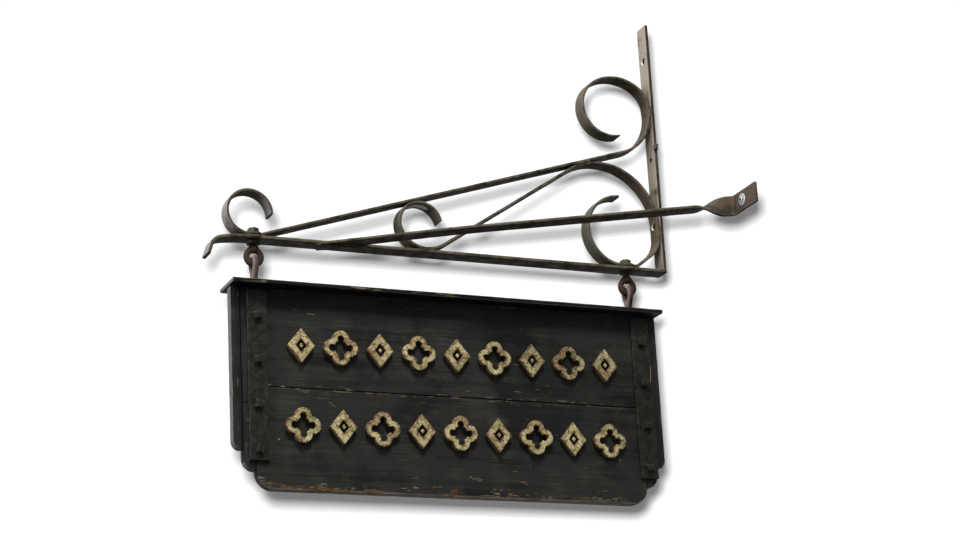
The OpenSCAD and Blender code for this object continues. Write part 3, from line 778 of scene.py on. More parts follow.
class Tree:
    """A node tree, and a short way to add shader nodes to it."""

    def __init__(self, owner: Material | bpy.types.World) -> None:
        """Turns the nodes of a material or a world on."""
        owner.use_nodes = True
        self.tree = owner.node_tree

    def node(self, kind: str, inputs: dict, **settings: object) -> bpy.types.Node:
        """Adds a node, with settings as attributes, and values or links as inputs.

        Args:
            kind: the node's type, without the ShaderNode that all of them start with.
            inputs: a value or a link for each input, by name or number; colours are RGB.
            settings: the node's attributes.

        Returns:
            The node.
        """
        made = self.tree.nodes.new("ShaderNode" + kind)
        for name, value in settings.items():
            setattr(made, name, value)
        for name, value in inputs.items():
            socket = made.inputs[name]
            if isinstance(value, Socket):
                self.tree.links.new(value, socket)
            else:
                socket.default_value = (*value, 1) if socket.type == "RGBA" else value
        return made

    def worked(self, operation: str, first: object, second: object) -> Socket:
        """Two values worked together by a Math node's operation."""
        return self.node("Math", {0: first, 1: second}, operation=operation).outputs[0]


class Graph(Tree):
    """A finish's node graph, from its coordinates to its shader, with the colour so far."""

    def __init__(self, name: str, colour: Triple) -> None:
        """Makes a material of that name and first colour, with a Principled shader."""
        self.material = bpy.data.materials.new(name)
        super().__init__(self.material)
        self.shader = next(n for n in self.tree.nodes if n.type == "BSDF_PRINCIPLED")
        self.colour = colour
        coordinates = self.node("TexCoord", {})
        self.place = coordinates.outputs["Object"]
        self.normal = coordinates.outputs["Normal"]

    def noise(self, scale: float | Floats, detail: float, roughness: float) -> Socket:
        """Noise from 0 to 1.

        Args:
            scale: cells for each metre, or one scale for each axis.
            detail: number of finer layers.
            roughness: strength of the finer layers.

        Returns:
            The noise.
        """
        place = self.place
        if isinstance(scale, Sequence):
            place = self.node("Mapping", {"Vector": place, "Scale": scale}).outputs["Vector"]
            scale = 1
        inputs = {"Vector": place, "Scale": scale, "Detail": detail, "Roughness": roughness}
        return self.node("TexNoise", inputs).outputs["Fac"]

    def ramp(self, value: Socket, low: float, high: float, to_low: float = 0,
             to_high: float = 1) -> Socket:
        """A value mapped from low and high to two others, eased and clamped."""
        inputs = {"Value": value, "From Min": low, "From Max": high, "To Min": to_low,
                  "To Max": to_high}
        return self.node("MapRange", inputs, interpolation_type="SMOOTHSTEP").outputs["Result"]

    def mix(self, share: Socket, first: Socket | Triple, second: Socket | Triple) -> Socket:
        """A colour between two, by a share from 0 to 1."""
        inputs = {"Factor": share, 6: first, 7: second}
        return self.node("Mix", inputs, data_type="RGBA").outputs[2]

    def tint(self, share: Socket, colour: Socket | Triple) -> None:
        """Lays a colour over what the finish has so far, by a share from 0 to 1."""
        self.colour = self.mix(share, self.colour, colour)

    def times(self, first: object, second: object) -> Socket:
        """One value times another."""
        return self.worked("MULTIPLY", first, second)

    def plus(self, first: object, second: object) -> Socket:
        """One value plus another."""
        return self.worked("ADD", first, second)

    def wear(self) -> Socket:
        """How worn the surface is, from the mesh."""
        return self.node("Attribute", {}, attribute_name="wear").outputs["Fac"]

    def part(self, vector: Socket, axis: int) -> Socket:
        """The part along one of the object's own axes of a place or a normal."""
        return self.node("SeparateXYZ", {"Vector": vector}).outputs[axis]

    def facing(self, axis: int, low: float, high: float) -> Socket:
        """How far the surface looks along one of the object's own axes, eased from low to high."""
        return self.ramp(self.part(self.normal, axis), low, high)

    def finish(self, rough: Socket, bumps: Sequence[tuple[Socket, float]],
               **constants: float) -> Material:
        """Links the colour, roughness and bumps into the shader.

        Args:
            rough: the roughness.
            bumps: heights from 0 to 1, each with its real depth in metres.
            constants: values of the shader's own sockets that are the same all over.

        Returns:
            The finished material.
        """
        self.tree.links.new(self.colour, self.shader.inputs["Base Color"])
        self.tree.links.new(rough, self.shader.inputs["Roughness"])
        for name, value in constants.items():
            self.shader.inputs[name.replace("_", " ")].default_value = value
        normal = None
        for height, depth in bumps:
            inputs = {"Height": height, "Distance": depth, "Strength": 1.0}
            if normal is not None:
                inputs["Normal"] = normal
            normal = self.node("Bump", inputs).outputs["Normal"]
        if normal is not None:
            self.tree.links.new(normal, self.shader.inputs["Normal"])
        return self.material


@dataclass(frozen=True)
class WroughtIron:
    """Old bar iron: olive-brown scale, rust in patches, and paler, dusty sides and edges.

    The paler sides and edges are partly painted side light and painted highlights.
    """

    name: str = "wrought iron"
    dark: Triple = (0.026, 0.023, 0.013)
    olive: Triple = (0.094, 0.078, 0.051)
    rust: Triple = (0.115, 0.057, 0.033)
    # Dust in patches and specks; with tan and pale it is also the tint of sides that look along -X,
    # which is partly dust and partly painted side light
    dust: Triple = (0.160, 0.146, 0.112)
    tan: Triple = (0.150, 0.112, 0.078)
    pale: Triple = (0.40, 0.365, 0.345)
    # Worn and rubbed arrises; on the bars' arrises this is also a painted highlight
    bright: Triple = (0.30, 0.28, 0.23)
    grime_and_shade: Triple = (0.012, 0.008, 0.005)
    # Painted shade on undersides, and on a front edge where its share is above 0
    under: Triple = (0.027, 0.019, 0.011)
    rust_share: float = 0.65
    # Share of the side tint, which is partly dust and partly painted side light
    side_dust_and_light_share: float = 0.7
    # Share of the bright arrises, partly wear and partly painted highlight
    edge_wear_and_highlight_share: float = 0.2
    # Shares of the painted shade on undersides and on a front edge
    underside_shade_share: float = 0.6
    front_edge_shade_share: float = 0.0

    def material(self) -> Material:
        """Builds the material: scale, rust, dust, painted side light, bright arrises, grime.

        The sides that look along -X get a tint that is partly dust and partly painted light from the
        left: pale at the arm's tip, grey along the arm and tan near the wall. Undersides get painted
        shade, and so does a front edge where the front share is above 0. The arrises are worn and
        rubbed bright, and on the bars this is partly a painted highlight. Grime darkens corners where
        the wear is below 0.
        """
        g = Graph(self.name, self.dark)
        speckle = g.noise(330, 5, 0.72)
        g.tint(g.ramp(g.noise(38, 6, 0.6), 0.35, 0.66), self.olive)
        g.tint(g.ramp(g.noise(7, 4, 0.6), 0.5, 0.66, 0, 0.5), self.dust)
        g.tint(g.ramp(g.noise(19, 8, 0.68), 0.50, 0.66, 0, self.rust_share), self.rust)
        # Sides that look along -X: a pale tint, partly dust and partly painted light from the left
        sides = g.times(g.facing(0, -0.25, -0.9), g.ramp(g.noise(26, 5, 0.6), 0.24, 0.5))
        near_wall = g.ramp(g.part(g.place, 0), -0.12, -0.04)
        dust = g.mix(g.ramp(g.part(g.place, 0), -0.42, -0.76), self.dust, self.pale)
        g.tint(g.times(sides, self.side_dust_and_light_share), g.mix(near_wall, dust, self.tan))
        # Painted shade on undersides and, by its share, on a front edge
        shaded = g.worked("MAXIMUM", g.times(g.facing(2, -0.55, -0.9), self.underside_shade_share),
                          g.times(g.facing(1, -0.3, -0.7), self.front_edge_shade_share))
        g.tint(g.times(shaded, g.ramp(g.noise(33, 5, 0.6), 0.3, 0.5, 0.6, 1)), self.under)
        g.tint(g.ramp(speckle, 0.58, 0.74, 0, 0.14), self.dust)
        wear = g.wear()
        # Arrises worn and rubbed bright, partly a painted highlight
        edges = g.times(g.ramp(wear, 0.7, 1.0, 0, self.edge_wear_and_highlight_share),
                      g.ramp(g.noise(75, 5, 0.7), 0.4, 0.55))
        g.tint(edges, self.bright)
        g.tint(g.ramp(wear, -0.1, -0.9), self.grime_and_shade)
        rough = g.ramp(g.noise(60, 5, 0.6), 0.3, 0.7, 0.55, 0.82)
        return g.finish(rough, [(g.noise(260, 6, 0.6), 0.6 * MM), (speckle, 0.2 * MM)],
                        Specular_IOR_Level=0.05)


@dataclass(frozen=True)
class PaintedWood:
    """Weathered black paint on boards, worn through along the grain."""

    name: str
    grain: Floats
    black: Triple = (0.0110, 0.0110, 0.0105)
    paint: Triple = (0.0235, 0.0231, 0.0214)
    faded: Triple = (0.0500, 0.0478, 0.0405)
    # Worn pale arrises, which also carry a painted highlight
    arris: Triple = (0.150, 0.150, 0.140)
    olive: Triple = (0.230, 0.200, 0.110)
    bare: Triple = (0.270, 0.135, 0.060)
    # Painted shade in the joints, where the wear is below 0
    grime_and_shade: Triple = (0.004, 0.004, 0.003)
    # Painted side light: the colour of faces that look along -X, by its share
    side: Triple = (0.190, 0.195, 0.190)
    side_light_share: float = 0.0
    foot_z: float = FOOT_H - ORIGIN_H
    foot_reach: float = 28 * MM
    ochre: Triple = (0.125, 0.085, 0.036)
    rust: Triple = (0.085, 0.040, 0.023)

    def material(self) -> Material:
        """Builds the material: streaky paint, calm in patches, dashes and stains, worn arrises.

        Streaks, dashes and stains run along the grain, and there are more stains near the
        board's foot. Sides that look along -X are paler where the side share is above 0, as painted
        side light. The arrises are worn pale and carry a painted highlight. Where the wear is high
        the paint is gone in patches, and where it is below 0, in the joints, it is darkened as
        painted shade.
        """
        g = Graph(self.name, self.paint)
        fine = g.noise([430 * k for k in self.grain], 7, 0.68)
        coarse = g.noise([40 * k for k in self.grain], 5, 0.6)
        patches = g.noise(9, 5, 0.62)
        wear = g.wear()
        calm = g.ramp(g.noise(13, 5, 0.65), 0.43, 0.62, 0.12, 0.95)
        g.tint(g.times(g.ramp(fine, 0.36, 0.66), calm), self.faded)
        g.tint(g.ramp(g.times(coarse, patches), 0.27, 0.17), self.black)
        # Painted side light: faces that look along -X are paler
        pale = g.times(g.facing(0, -0.4, -0.9), g.ramp(patches, 0.35, 0.5, 0.45, 1))
        g.tint(g.times(pale, self.side_light_share), self.side)
        slivers = g.noise([420 * k**0.75 for k in self.grain], 3, 0.6)
        dashes = g.plus(slivers, g.times(wear, 0.15))
        g.tint(g.ramp(dashes, 0.71, 0.77, 0, 0.9), self.olive)
        # Worn arrises with a painted highlight
        edges = g.times(g.ramp(wear, 0.72, 0.98, 0, 0.75), g.ramp(coarse, 0.36, 0.52))
        g.tint(edges, self.arris)
        flaked = g.ramp(g.plus(g.times(wear, 0.5), g.noise(60, 6, 0.7)), 1.08, 1.2)
        g.tint(flaked, self.bare)
        # Painted shade in the joints, where the wear is below 0
        g.tint(g.ramp(wear, -0.05, -0.7), self.grime_and_shade)
        worn = g.plus(g.noise([75 * k**0.4 for k in self.grain], 6, 0.65),
                      g.ramp(g.part(g.place, 2), self.foot_z + self.foot_reach, self.foot_z, 0, 0.175))
        stain = g.mix(g.ramp(g.noise(33, 4, 0.6), 0.45, 0.55), self.ochre, self.rust)
        g.tint(g.ramp(worn, 0.67, 0.77, 0, 0.85), stain)
        rough = g.ramp(coarse, 0.3, 0.7, 0.5, 0.72)
        return g.finish(rough, [(fine, 0.75 * MM), (g.noise(700, 4, 0.6), 0.12 * MM)],
                        Specular_IOR_Level=0.07)


@dataclass(frozen=True)
class PaintedIron:
    """Thick black paint over rusty straps, with small pale chips on the arrises."""

    name: str = "painted iron"
    paint: Triple = (0.0105, 0.0098, 0.0078)
    faded: Triple = (0.0290, 0.0275, 0.0220)
    chip: Triple = (0.24, 0.21, 0.13)
    arris: Triple = (0.100, 0.098, 0.085)
    grime_and_shade: Triple = (0.004, 0.004, 0.003)

    def material(self) -> Material:
        """Builds the material: paint that fades on its lumps, then chips by fine noise."""
        g = Graph(self.name, self.paint)
        lumps = g.noise(95, 6, 0.66)
        wear = g.wear()
        g.tint(g.ramp(lumps, 0.38, 0.68), self.faded)
        edges = g.times(g.ramp(wear, 0.7, 1, 0, 0.7), g.ramp(g.noise(60, 5, 0.7), 0.42, 0.6))
        g.tint(edges, self.arris)
        chips = g.ramp(g.plus(g.noise(130, 5, 0.7), g.times(wear, 0.16)), 0.78, 0.84)
        g.tint(chips, self.chip)
        g.tint(g.ramp(wear, -0.05, -0.7), self.grime_and_shade)
        rough = g.ramp(g.noise(120, 4, 0.6), 0.3, 0.7, 0.42, 0.62)
        return g.finish(rough, [(lumps, 1.3 * MM), (g.noise(420, 5, 0.6), 0.35 * MM)],
                        Specular_IOR_Level=0.09)


@dataclass(frozen=True)
class FlakedGilt:
    """Cream-gold paint that flakes off brown wood."""

    name: str = "flaked gilt"
    cream: Triple = (0.58, 0.49, 0.25)
    olive: Triple = (0.28, 0.245, 0.085)
    brown: Triple = (0.29, 0.165, 0.090)
    glint: Triple = (0.80, 0.72, 0.45)
    dark: Triple = (0.040, 0.030, 0.016)
    side: Triple = (0.095, 0.064, 0.032)

    def material(self) -> Material:
        """Builds the material: paint in two tints with brown patches, glints and dark flecks.

        The sides of the ornament, which look neither forward nor back, are brown.
        """
        g = Graph(self.name, self.cream)
        g.tint(g.ramp(g.noise(45, 5, 0.6), 0.42, 0.64), self.olive)
        patches = g.plus(g.noise(34, 8, 0.76), g.times(g.wear(), 0.08))
        flaked = g.ramp(patches, 0.52, 0.58, 0, 0.9)
        g.tint(flaked, self.brown)
        g.tint(g.ramp(g.noise(240, 4, 0.7), 0.54, 0.60, 0, 0.6), self.glint)
        flecks = g.plus(g.noise(190, 7, 0.85), g.times(g.wear(), 0.035))
        g.tint(g.ramp(flecks, 0.53, 0.575, 0, 0.92), self.dark)
        sideways = g.worked("ABSOLUTE", g.part(g.normal, 1), 0)
        g.tint(g.ramp(sideways, 0.75, 0.35, 0, 0.85), self.side)
        rough = g.ramp(flaked, 0, 1, 0.5, 0.85)
        return g.finish(rough, [(patches, 0.7 * MM), (flecks, 0.3 * MM)], Specular_IOR_Level=0.1)


@dataclass(frozen=True)
class Zinc:
    """Bright zinc plate, a little dulled."""

    name: str = "zinc"
    bright: Triple = (0.50, 0.525, 0.56)
    dull: Triple = (0.22, 0.235, 0.26)
    # Painted shade in the screw's recess
    grime_and_shade: Triple = (0.030, 0.030, 0.028)

    def material(self) -> Material:
        """Builds the material: two tints of metal by noise, and painted shade in the screw's recess.
        """
        g = Graph(self.name, self.bright)
        g.tint(g.ramp(g.noise(160, 4, 0.6), 0.45, 0.7), self.dull)
        # Painted shade in the screw head's recess, where the wear is below 0
        g.tint(g.ramp(g.wear(), -0.2, -0.8), self.grime_and_shade)
        rough = g.ramp(g.noise(240, 3, 0.6), 0.3, 0.7, 0.4, 0.6)
        return g.finish(rough, [(g.noise(900, 3, 0.5), 0.05 * MM)], Metallic=0.75)


@dataclass(frozen=True)
class BareWood:
    """Plain wood: inside the board, and in other tints where the paint is scraped off."""

    name: str = "bare wood"
    light: Triple = (0.46, 0.31, 0.18)
    dark: Triple = (0.30, 0.18, 0.09)

    def material(self) -> Material:
        """Builds the material: two tints along the grain."""
        g = Graph(self.name, self.light)
        grain = g.noise((12, 220, 220), 6, 0.6)
        g.tint(g.ramp(grain, 0.35, 0.65), self.dark)
        rough = g.ramp(grain, 0.3, 0.7, 0.6, 0.8)
        return g.finish(rough, [(grain, 0.2 * MM)])


@dataclass(frozen=True)
class Mortar:
    """Pale mortar and paint that stick to the walls of the bolt holes, with painted shade deeper in.
    """

    name: str = "mortar"
    deep: float = -3.2 * MM
    pale: Triple = (0.90, 0.89, 0.85)
    # Painted shade deeper in the hole
    painted_deep_shade: Triple = (0.030, 0.024, 0.016)

    def material(self) -> Material:
        """Builds the material: pale near the mouth, and painted shade from X = deep on."""
        g = Graph(self.name, self.pale)
        patches = g.noise(220, 5, 0.65)
        place = g.plus(g.part(g.place, 0), g.times(patches, 2 * MM))
        # Painted shade from X = deep on
        g.tint(g.ramp(place, self.deep + 0.6 * MM, self.deep + 1.4 * MM), self.painted_deep_shade)
        rough = g.ramp(patches, 0.3, 0.7, 0.75, 0.9)
        return g.finish(rough, [(patches, 0.2 * MM)])


@dataclass(frozen=True)
class Look:
    """A material, and the record's slot that it is the finish of."""

    slot: str
    material: Material


@dataclass(frozen=True)
class Finishes:
    """The looks of all pieces, and the two materials that line bolt holes."""

    iron: Look
    bar: Look
    stay: Look
    eyes: Look
    hung: Look
    weld: Look
    along: Look
    upright: Look
    cap: Look
    painted: Look
    gilt: Look
    zinc: Look
    bare: Look
    scraped: Look
    mortar: Material
    strip_mortar: Material

    @classmethod
    def made(cls) -> "Finishes":
        """Builds every material."""
        pinkish, level = (0.70, 0.56, 0.50), (0.03, 1, 1)
        looks = {
            "iron": ("wrought_iron", WroughtIron()),
            # The wall bar: its pale -X side is partly painted side light, and its front edge has
            # painted shade
            "bar": ("wrought_iron", WroughtIron(
                "wall bar iron", dust=(0.42, 0.370, 0.305), tan=(0.44, 0.370, 0.300),
                side_dust_and_light_share=0.9, edge_wear_and_highlight_share=0.1, front_edge_shade_share=0.7)),
            # The stay: its undersides have painted shade
            "stay": ("wrought_iron", WroughtIron(
                "stay iron", dust=(0.110, 0.098, 0.072), tan=(0.120, 0.085, 0.065),
                pale=(0.110, 0.098, 0.072), side_dust_and_light_share=0.6, underside_shade_share=0.75)),
            "eyes": ("rusty_iron", WroughtIron(
                "rubbed iron", dark=(0.014, 0.010, 0.007), olive=(0.042, 0.028, 0.020),
                rust=(0.085, 0.044, 0.030), bright=pinkish, side_dust_and_light_share=0.3, edge_wear_and_highlight_share=1.0,
                underside_shade_share=0.3, **dict.fromkeys(("dust", "tan", "pale"), (0.14, 0.10, 0.08)))),
            "hung": ("rusty_iron", WroughtIron(
                "rubbed sign eyes", dark=(0.028, 0.019, 0.015), olive=(0.092, 0.068, 0.057),
                rust=(0.100, 0.055, 0.038), bright=pinkish, edge_wear_and_highlight_share=1.0, underside_shade_share=0.3,
                **dict.fromkeys(("dust", "tan", "pale"), (0.32, 0.25, 0.22)))),
            "weld": ("wrought_iron", WroughtIron(
                "weld", dark=(0.034, 0.026, 0.018), olive=(0.110, 0.085, 0.062),
                rust=(0.15, 0.080, 0.048), rust_share=0.7, side_dust_and_light_share=0.5, underside_shade_share=0.3)),
            "along": ("painted_wood", PaintedWood("painted wood, grain along the board", level)),
            # The stiles' and the cap's ends that look along -X are paler by painted side light, and
            # the cap's pale arris carries a painted highlight
            "upright": ("painted_wood", PaintedWood(
                "painted wood, upright grain", (1, 1, 0.03), side_light_share=0.8,
                paint=(0.0215, 0.0218, 0.0218), faded=(0.0450, 0.0450, 0.0425))),
            "cap": ("painted_wood", PaintedWood(
                "painted cap", level, black=(0.004, 0.004, 0.004), side_light_share=0.95,
                paint=(0.0080, 0.0077, 0.0070), faded=(0.022, 0.021, 0.018),
                arris=(0.30, 0.30, 0.285))),
            "painted": ("painted_iron", PaintedIron()),
            "gilt": ("gilt", FlakedGilt()),
            "zinc": ("zinc", Zinc()),
            "bare": ("bare_wood", BareWood()),
            "scraped": ("painted_wood", BareWood("scraped wood", (0.33, 0.24, 0.125),
                                                 (0.085, 0.050, 0.026)))}
        return cls(mortar=Mortar().material(),
                   strip_mortar=Mortar("mortar in the strip", -8.0 * MM).material(),
                   **{name: Look(slot, finish.material()) for name, (slot, finish) in looks.items()})


@dataclass
class SubAssembly:
    """Pieces that ride on one body, made of skins and dressed.
    """

    frame: dict
    looks: Finishes
    body: Body

    def show(self, skin: Skin, name: str, nodes: Sequence[str], look: Look,
             bores: Sequence[Bore] = (), sharp_deg: float = 40) -> None:
        """Puts a skin into the scene as a piece that rides on the body.

        Args:
            skin: the skin, in the frame.
            name: the piece's name.
            nodes: the CAD nodes that it stands for, if any.
            look: its material and slot.
            bores: holes that are cut through it.
            sharp_deg: edges that turn by more than this stay sharp.
        """
        piece = placed(name, quad_mesh(name, skin))
        for bore in bores:
            cutter = bore.cutter()
            cut = piece.modifiers.new("bore", "BOOLEAN")
            cut.object, cut.operation, cut.solver = cutter, "DIFFERENCE", "EXACT"
            graph = bpy.context.evaluated_depsgraph_get()
            bored = bpy.data.meshes.new_from_object(piece.evaluated_get(graph))
            piece.modifiers.clear()
            piece.data = bored
            bpy.data.objects.remove(cutter)
        mesh = piece.data
        mesh.shade_smooth()
        mesh.set_sharp_from_angle(angle=radians(sharp_deg))
        mesh.materials.clear()
        mesh.materials.append(look.material)
        for bore in bores:
            if bore.wall is not None:
                mesh.materials.append(bore.wall)
                bore.line(mesh, len(mesh.materials) - 1)
        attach(piece, self.body.value)
        if nodes:
            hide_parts(*nodes)
        log.info("%s on %s: %d faces", name, self.body.value, len(mesh.polygons))

    def keep(self, node: str, look: Look) -> None:
        """Gives a CAD node that is shown as it is its material.

        Args:
            node: the node.
            look: its material and slot.
        """
        piece = self.frame["nodes"][node]
        piece.data.materials.clear()
        piece.data.materials.append(look.material)
        log.info("%s keeps its solid", node)


@dataclass
class Scrollwork(SubAssembly):
    """The two scroll strips, whose lengths follow from where they touch each other.

    The upper strip curls over the arm's tip, lies on the arm under the left nut, rises to the
    wall bar and ends in the top scroll. The lower one starts in the foot scroll, lies on the
    arm under the right nut, turns up the wall bar, arches back under the upper strip's run and
    comes down a diagonal into the small scroll.
    """

    body: Body = Body.BRACKET
    width: float = 28 * MM
    thickness: float = 5 * MM
    middle: float = 8.5 * MM
    seat: float = 18 * MM
    rise: float = radians(17.4)
    tip_r: float = 37 * MM
    tip_turn: float = 273
    lift_r: float = 8 * MM
    turn_r: float = 82 * MM
    wall_seat: float = 7 * MM
    # Radius in mm and degrees of each bend of the top scroll
    top_scroll: tuple[Floats, ...] = ((48, 55), (75, 70), (53, 162))
    slope: float = radians(38)
    fall: float = radians(33)
    foot_scroll_r: float = 62 * MM
    foot_r: float = 24 * MM
    corner_r: float = 46 * MM
    upright: float = 18.8 * MM
    level_r: float = 60 * MM
    curl_r: float = 45 * MM
    curl_turn: float = 75
    last_turn: float = 185
    # Height and radius
    bolt_hole: Floats = (88 * MM, 7 * MM)

    def upper(self) -> BentBar:
        """The upper strip."""
        rise, curl, left = self.rise, radians(self.tip_turn), EYE_XS[0]
        run = (-self.middle - left - self.seat / 2 - self.lift_r * sin(rise)
               - self.turn_r * (1 - sin(rise))) / cos(rise)
        start = (left - self.seat / 2 - self.tip_r * sin(curl),
                 self.middle + self.tip_r * (1 - cos(curl)), -self.tip_turn)
        lift = degrees(rise)
        bends = [Bend(self.tip_r, self.tip_turn), Bend(0, self.seat), Bend(self.lift_r, lift),
                 Bend(0, run), Bend(self.turn_r, 90 - lift), Bend(0, self.wall_seat),
                 *(Bend(radius * MM, turn) for radius, turn in self.top_scroll)]
        return BentBar(start, bends, self.width, self.thickness)

    def run_height(self, x: float) -> float:
        """Height of the middle of the upper strip's run at X."""
        foot = EYE_XS[0] + self.seat / 2 + self.lift_r * tan(self.rise / 2)
        return self.middle + (x - foot) * tan(self.rise)

    def corner_run(self) -> float:
        """Length of the lower strip's short run between the arm and the wall."""
        start = EYE_XS[1] + self.seat / 2
        return (-self.middle - start - self.foot_r * sin(self.slope)
                - self.corner_r * (1 - sin(self.slope))) / cos(self.slope)

    def arch(self) -> Pair:
        """Radius of the arch under the upper strip, and the height of its centre."""
        height = (self.middle + self.foot_r * (1 - cos(self.slope))
                  + self.corner_run() * sin(self.slope)
                  + self.corner_r * cos(self.slope) + self.upright)
        room = (self.run_height(-self.middle) - height) * cos(self.rise)
        return (room - self.thickness) / (1 + sin(self.rise)), height

    def lower(self) -> BentBar:
        """The lower strip, whose last curl is as large as the room under the run allows."""
        slope, fall = degrees(self.slope), degrees(self.fall)
        arch_r, arch_h = self.arch()
        end_x = -self.middle - arch_r * (1 + sin(self.fall))
        end_h = arch_h + arch_r * cos(self.fall)
        diagonal = (end_h - self.level_r * (1 - cos(self.fall)) - self.middle) / sin(self.fall)
        small_x = end_x - diagonal * cos(self.fall) - self.level_r * sin(self.fall)
        turn = sin(radians(270 - self.curl_turn) - self.rise)
        room = (self.run_height(small_x) - self.middle - self.curl_r) * cos(self.rise)
        last_r = (room - self.curl_r * turn - self.thickness) / (1 - turn)
        bends = [Bend(self.foot_scroll_r, 180), Bend(0, self.seat), Bend(self.foot_r, slope),
                 Bend(0, self.corner_run()), Bend(self.corner_r, 90 - slope),
                 Bend(0, self.upright), Bend(arch_r, 90 + fall), Bend(0, diagonal),
                 Bend(self.level_r, -fall), Bend(self.curl_r, -self.curl_turn),
                 Bend(last_r, -self.last_turn)]
        start = (EYE_XS[1] - self.seat / 2, self.middle + 2 * self.foot_scroll_r, 180)
        return BentBar(start, bends, self.width, self.thickness)

    def joint_beads(self) -> list[Skin]:
        """Weld beads where the strips touch each other, the wall bar and the arm."""
        arch_r, arch_h = self.arch()
        up = np.array([-sin(self.rise), 0, cos(self.rise)])
        along = np.array([cos(self.rise), 0, sin(self.rise)])
        touch = lifted(-self.middle - arch_r, 0, arch_h) + up * (arch_r + self.thickness / 2)
        spots = [(touch, along, 17 * MM)]
        for bar, span in ((self.upper(), 11 * MM), (self.lower(), 15 * MM)):
            x, height, _ = bar.pose_at(5, 0.5)
            spots.append((lifted(x + self.thickness / 2, 0, height), Z_AXIS, span))
        level_x = self.lower().pose_at(9)[0]
        spots.append((lifted(level_x, 0, self.middle - self.thickness / 2), X_AXIS, 12 * MM))
        beads = []
        for k, (middle, way, span) in enumerate(spots):
            for side in (-1, 1):
                edge = middle + side * (self.width / 2 - 0.6 * MM) * Y_AXIS
                steps = np.linspace(-span, span, 20)[:, None]
                beads.append(bead(edge + steps * way, 2.2 * MM, 3 * k + side))
        return beads

    def build(self) -> None:
        """Shows both strips."""
        height, radius = self.bolt_hole
        bore = Bore(lifted(-30 * MM, 0, height), radius, 40 * MM, self.looks.strip_mortar)
        upper = ("tip_scroll_strip", "upper_run_strip", "top_scroll_strip")
        lower = ("foot_scroll_strip", "arch_strip", "diagonal_strip", "small_scroll_strip")
        for name, bar, nodes, seed, bores in (("forged_upper_strip", self.upper(), upper, 3, ()),
                                              ("forged_lower_strip", self.lower(), lower, 8,
                                               (bore,))):
            skin = bar.skin(1.4 * MM, 1.6 * MM, taper=0.9 * MM, taper_len=45 * MM)
            self.show(skin.roughened(0.16 * MM, 8 * MM, seed), name, nodes, self.looks.iron, bores)


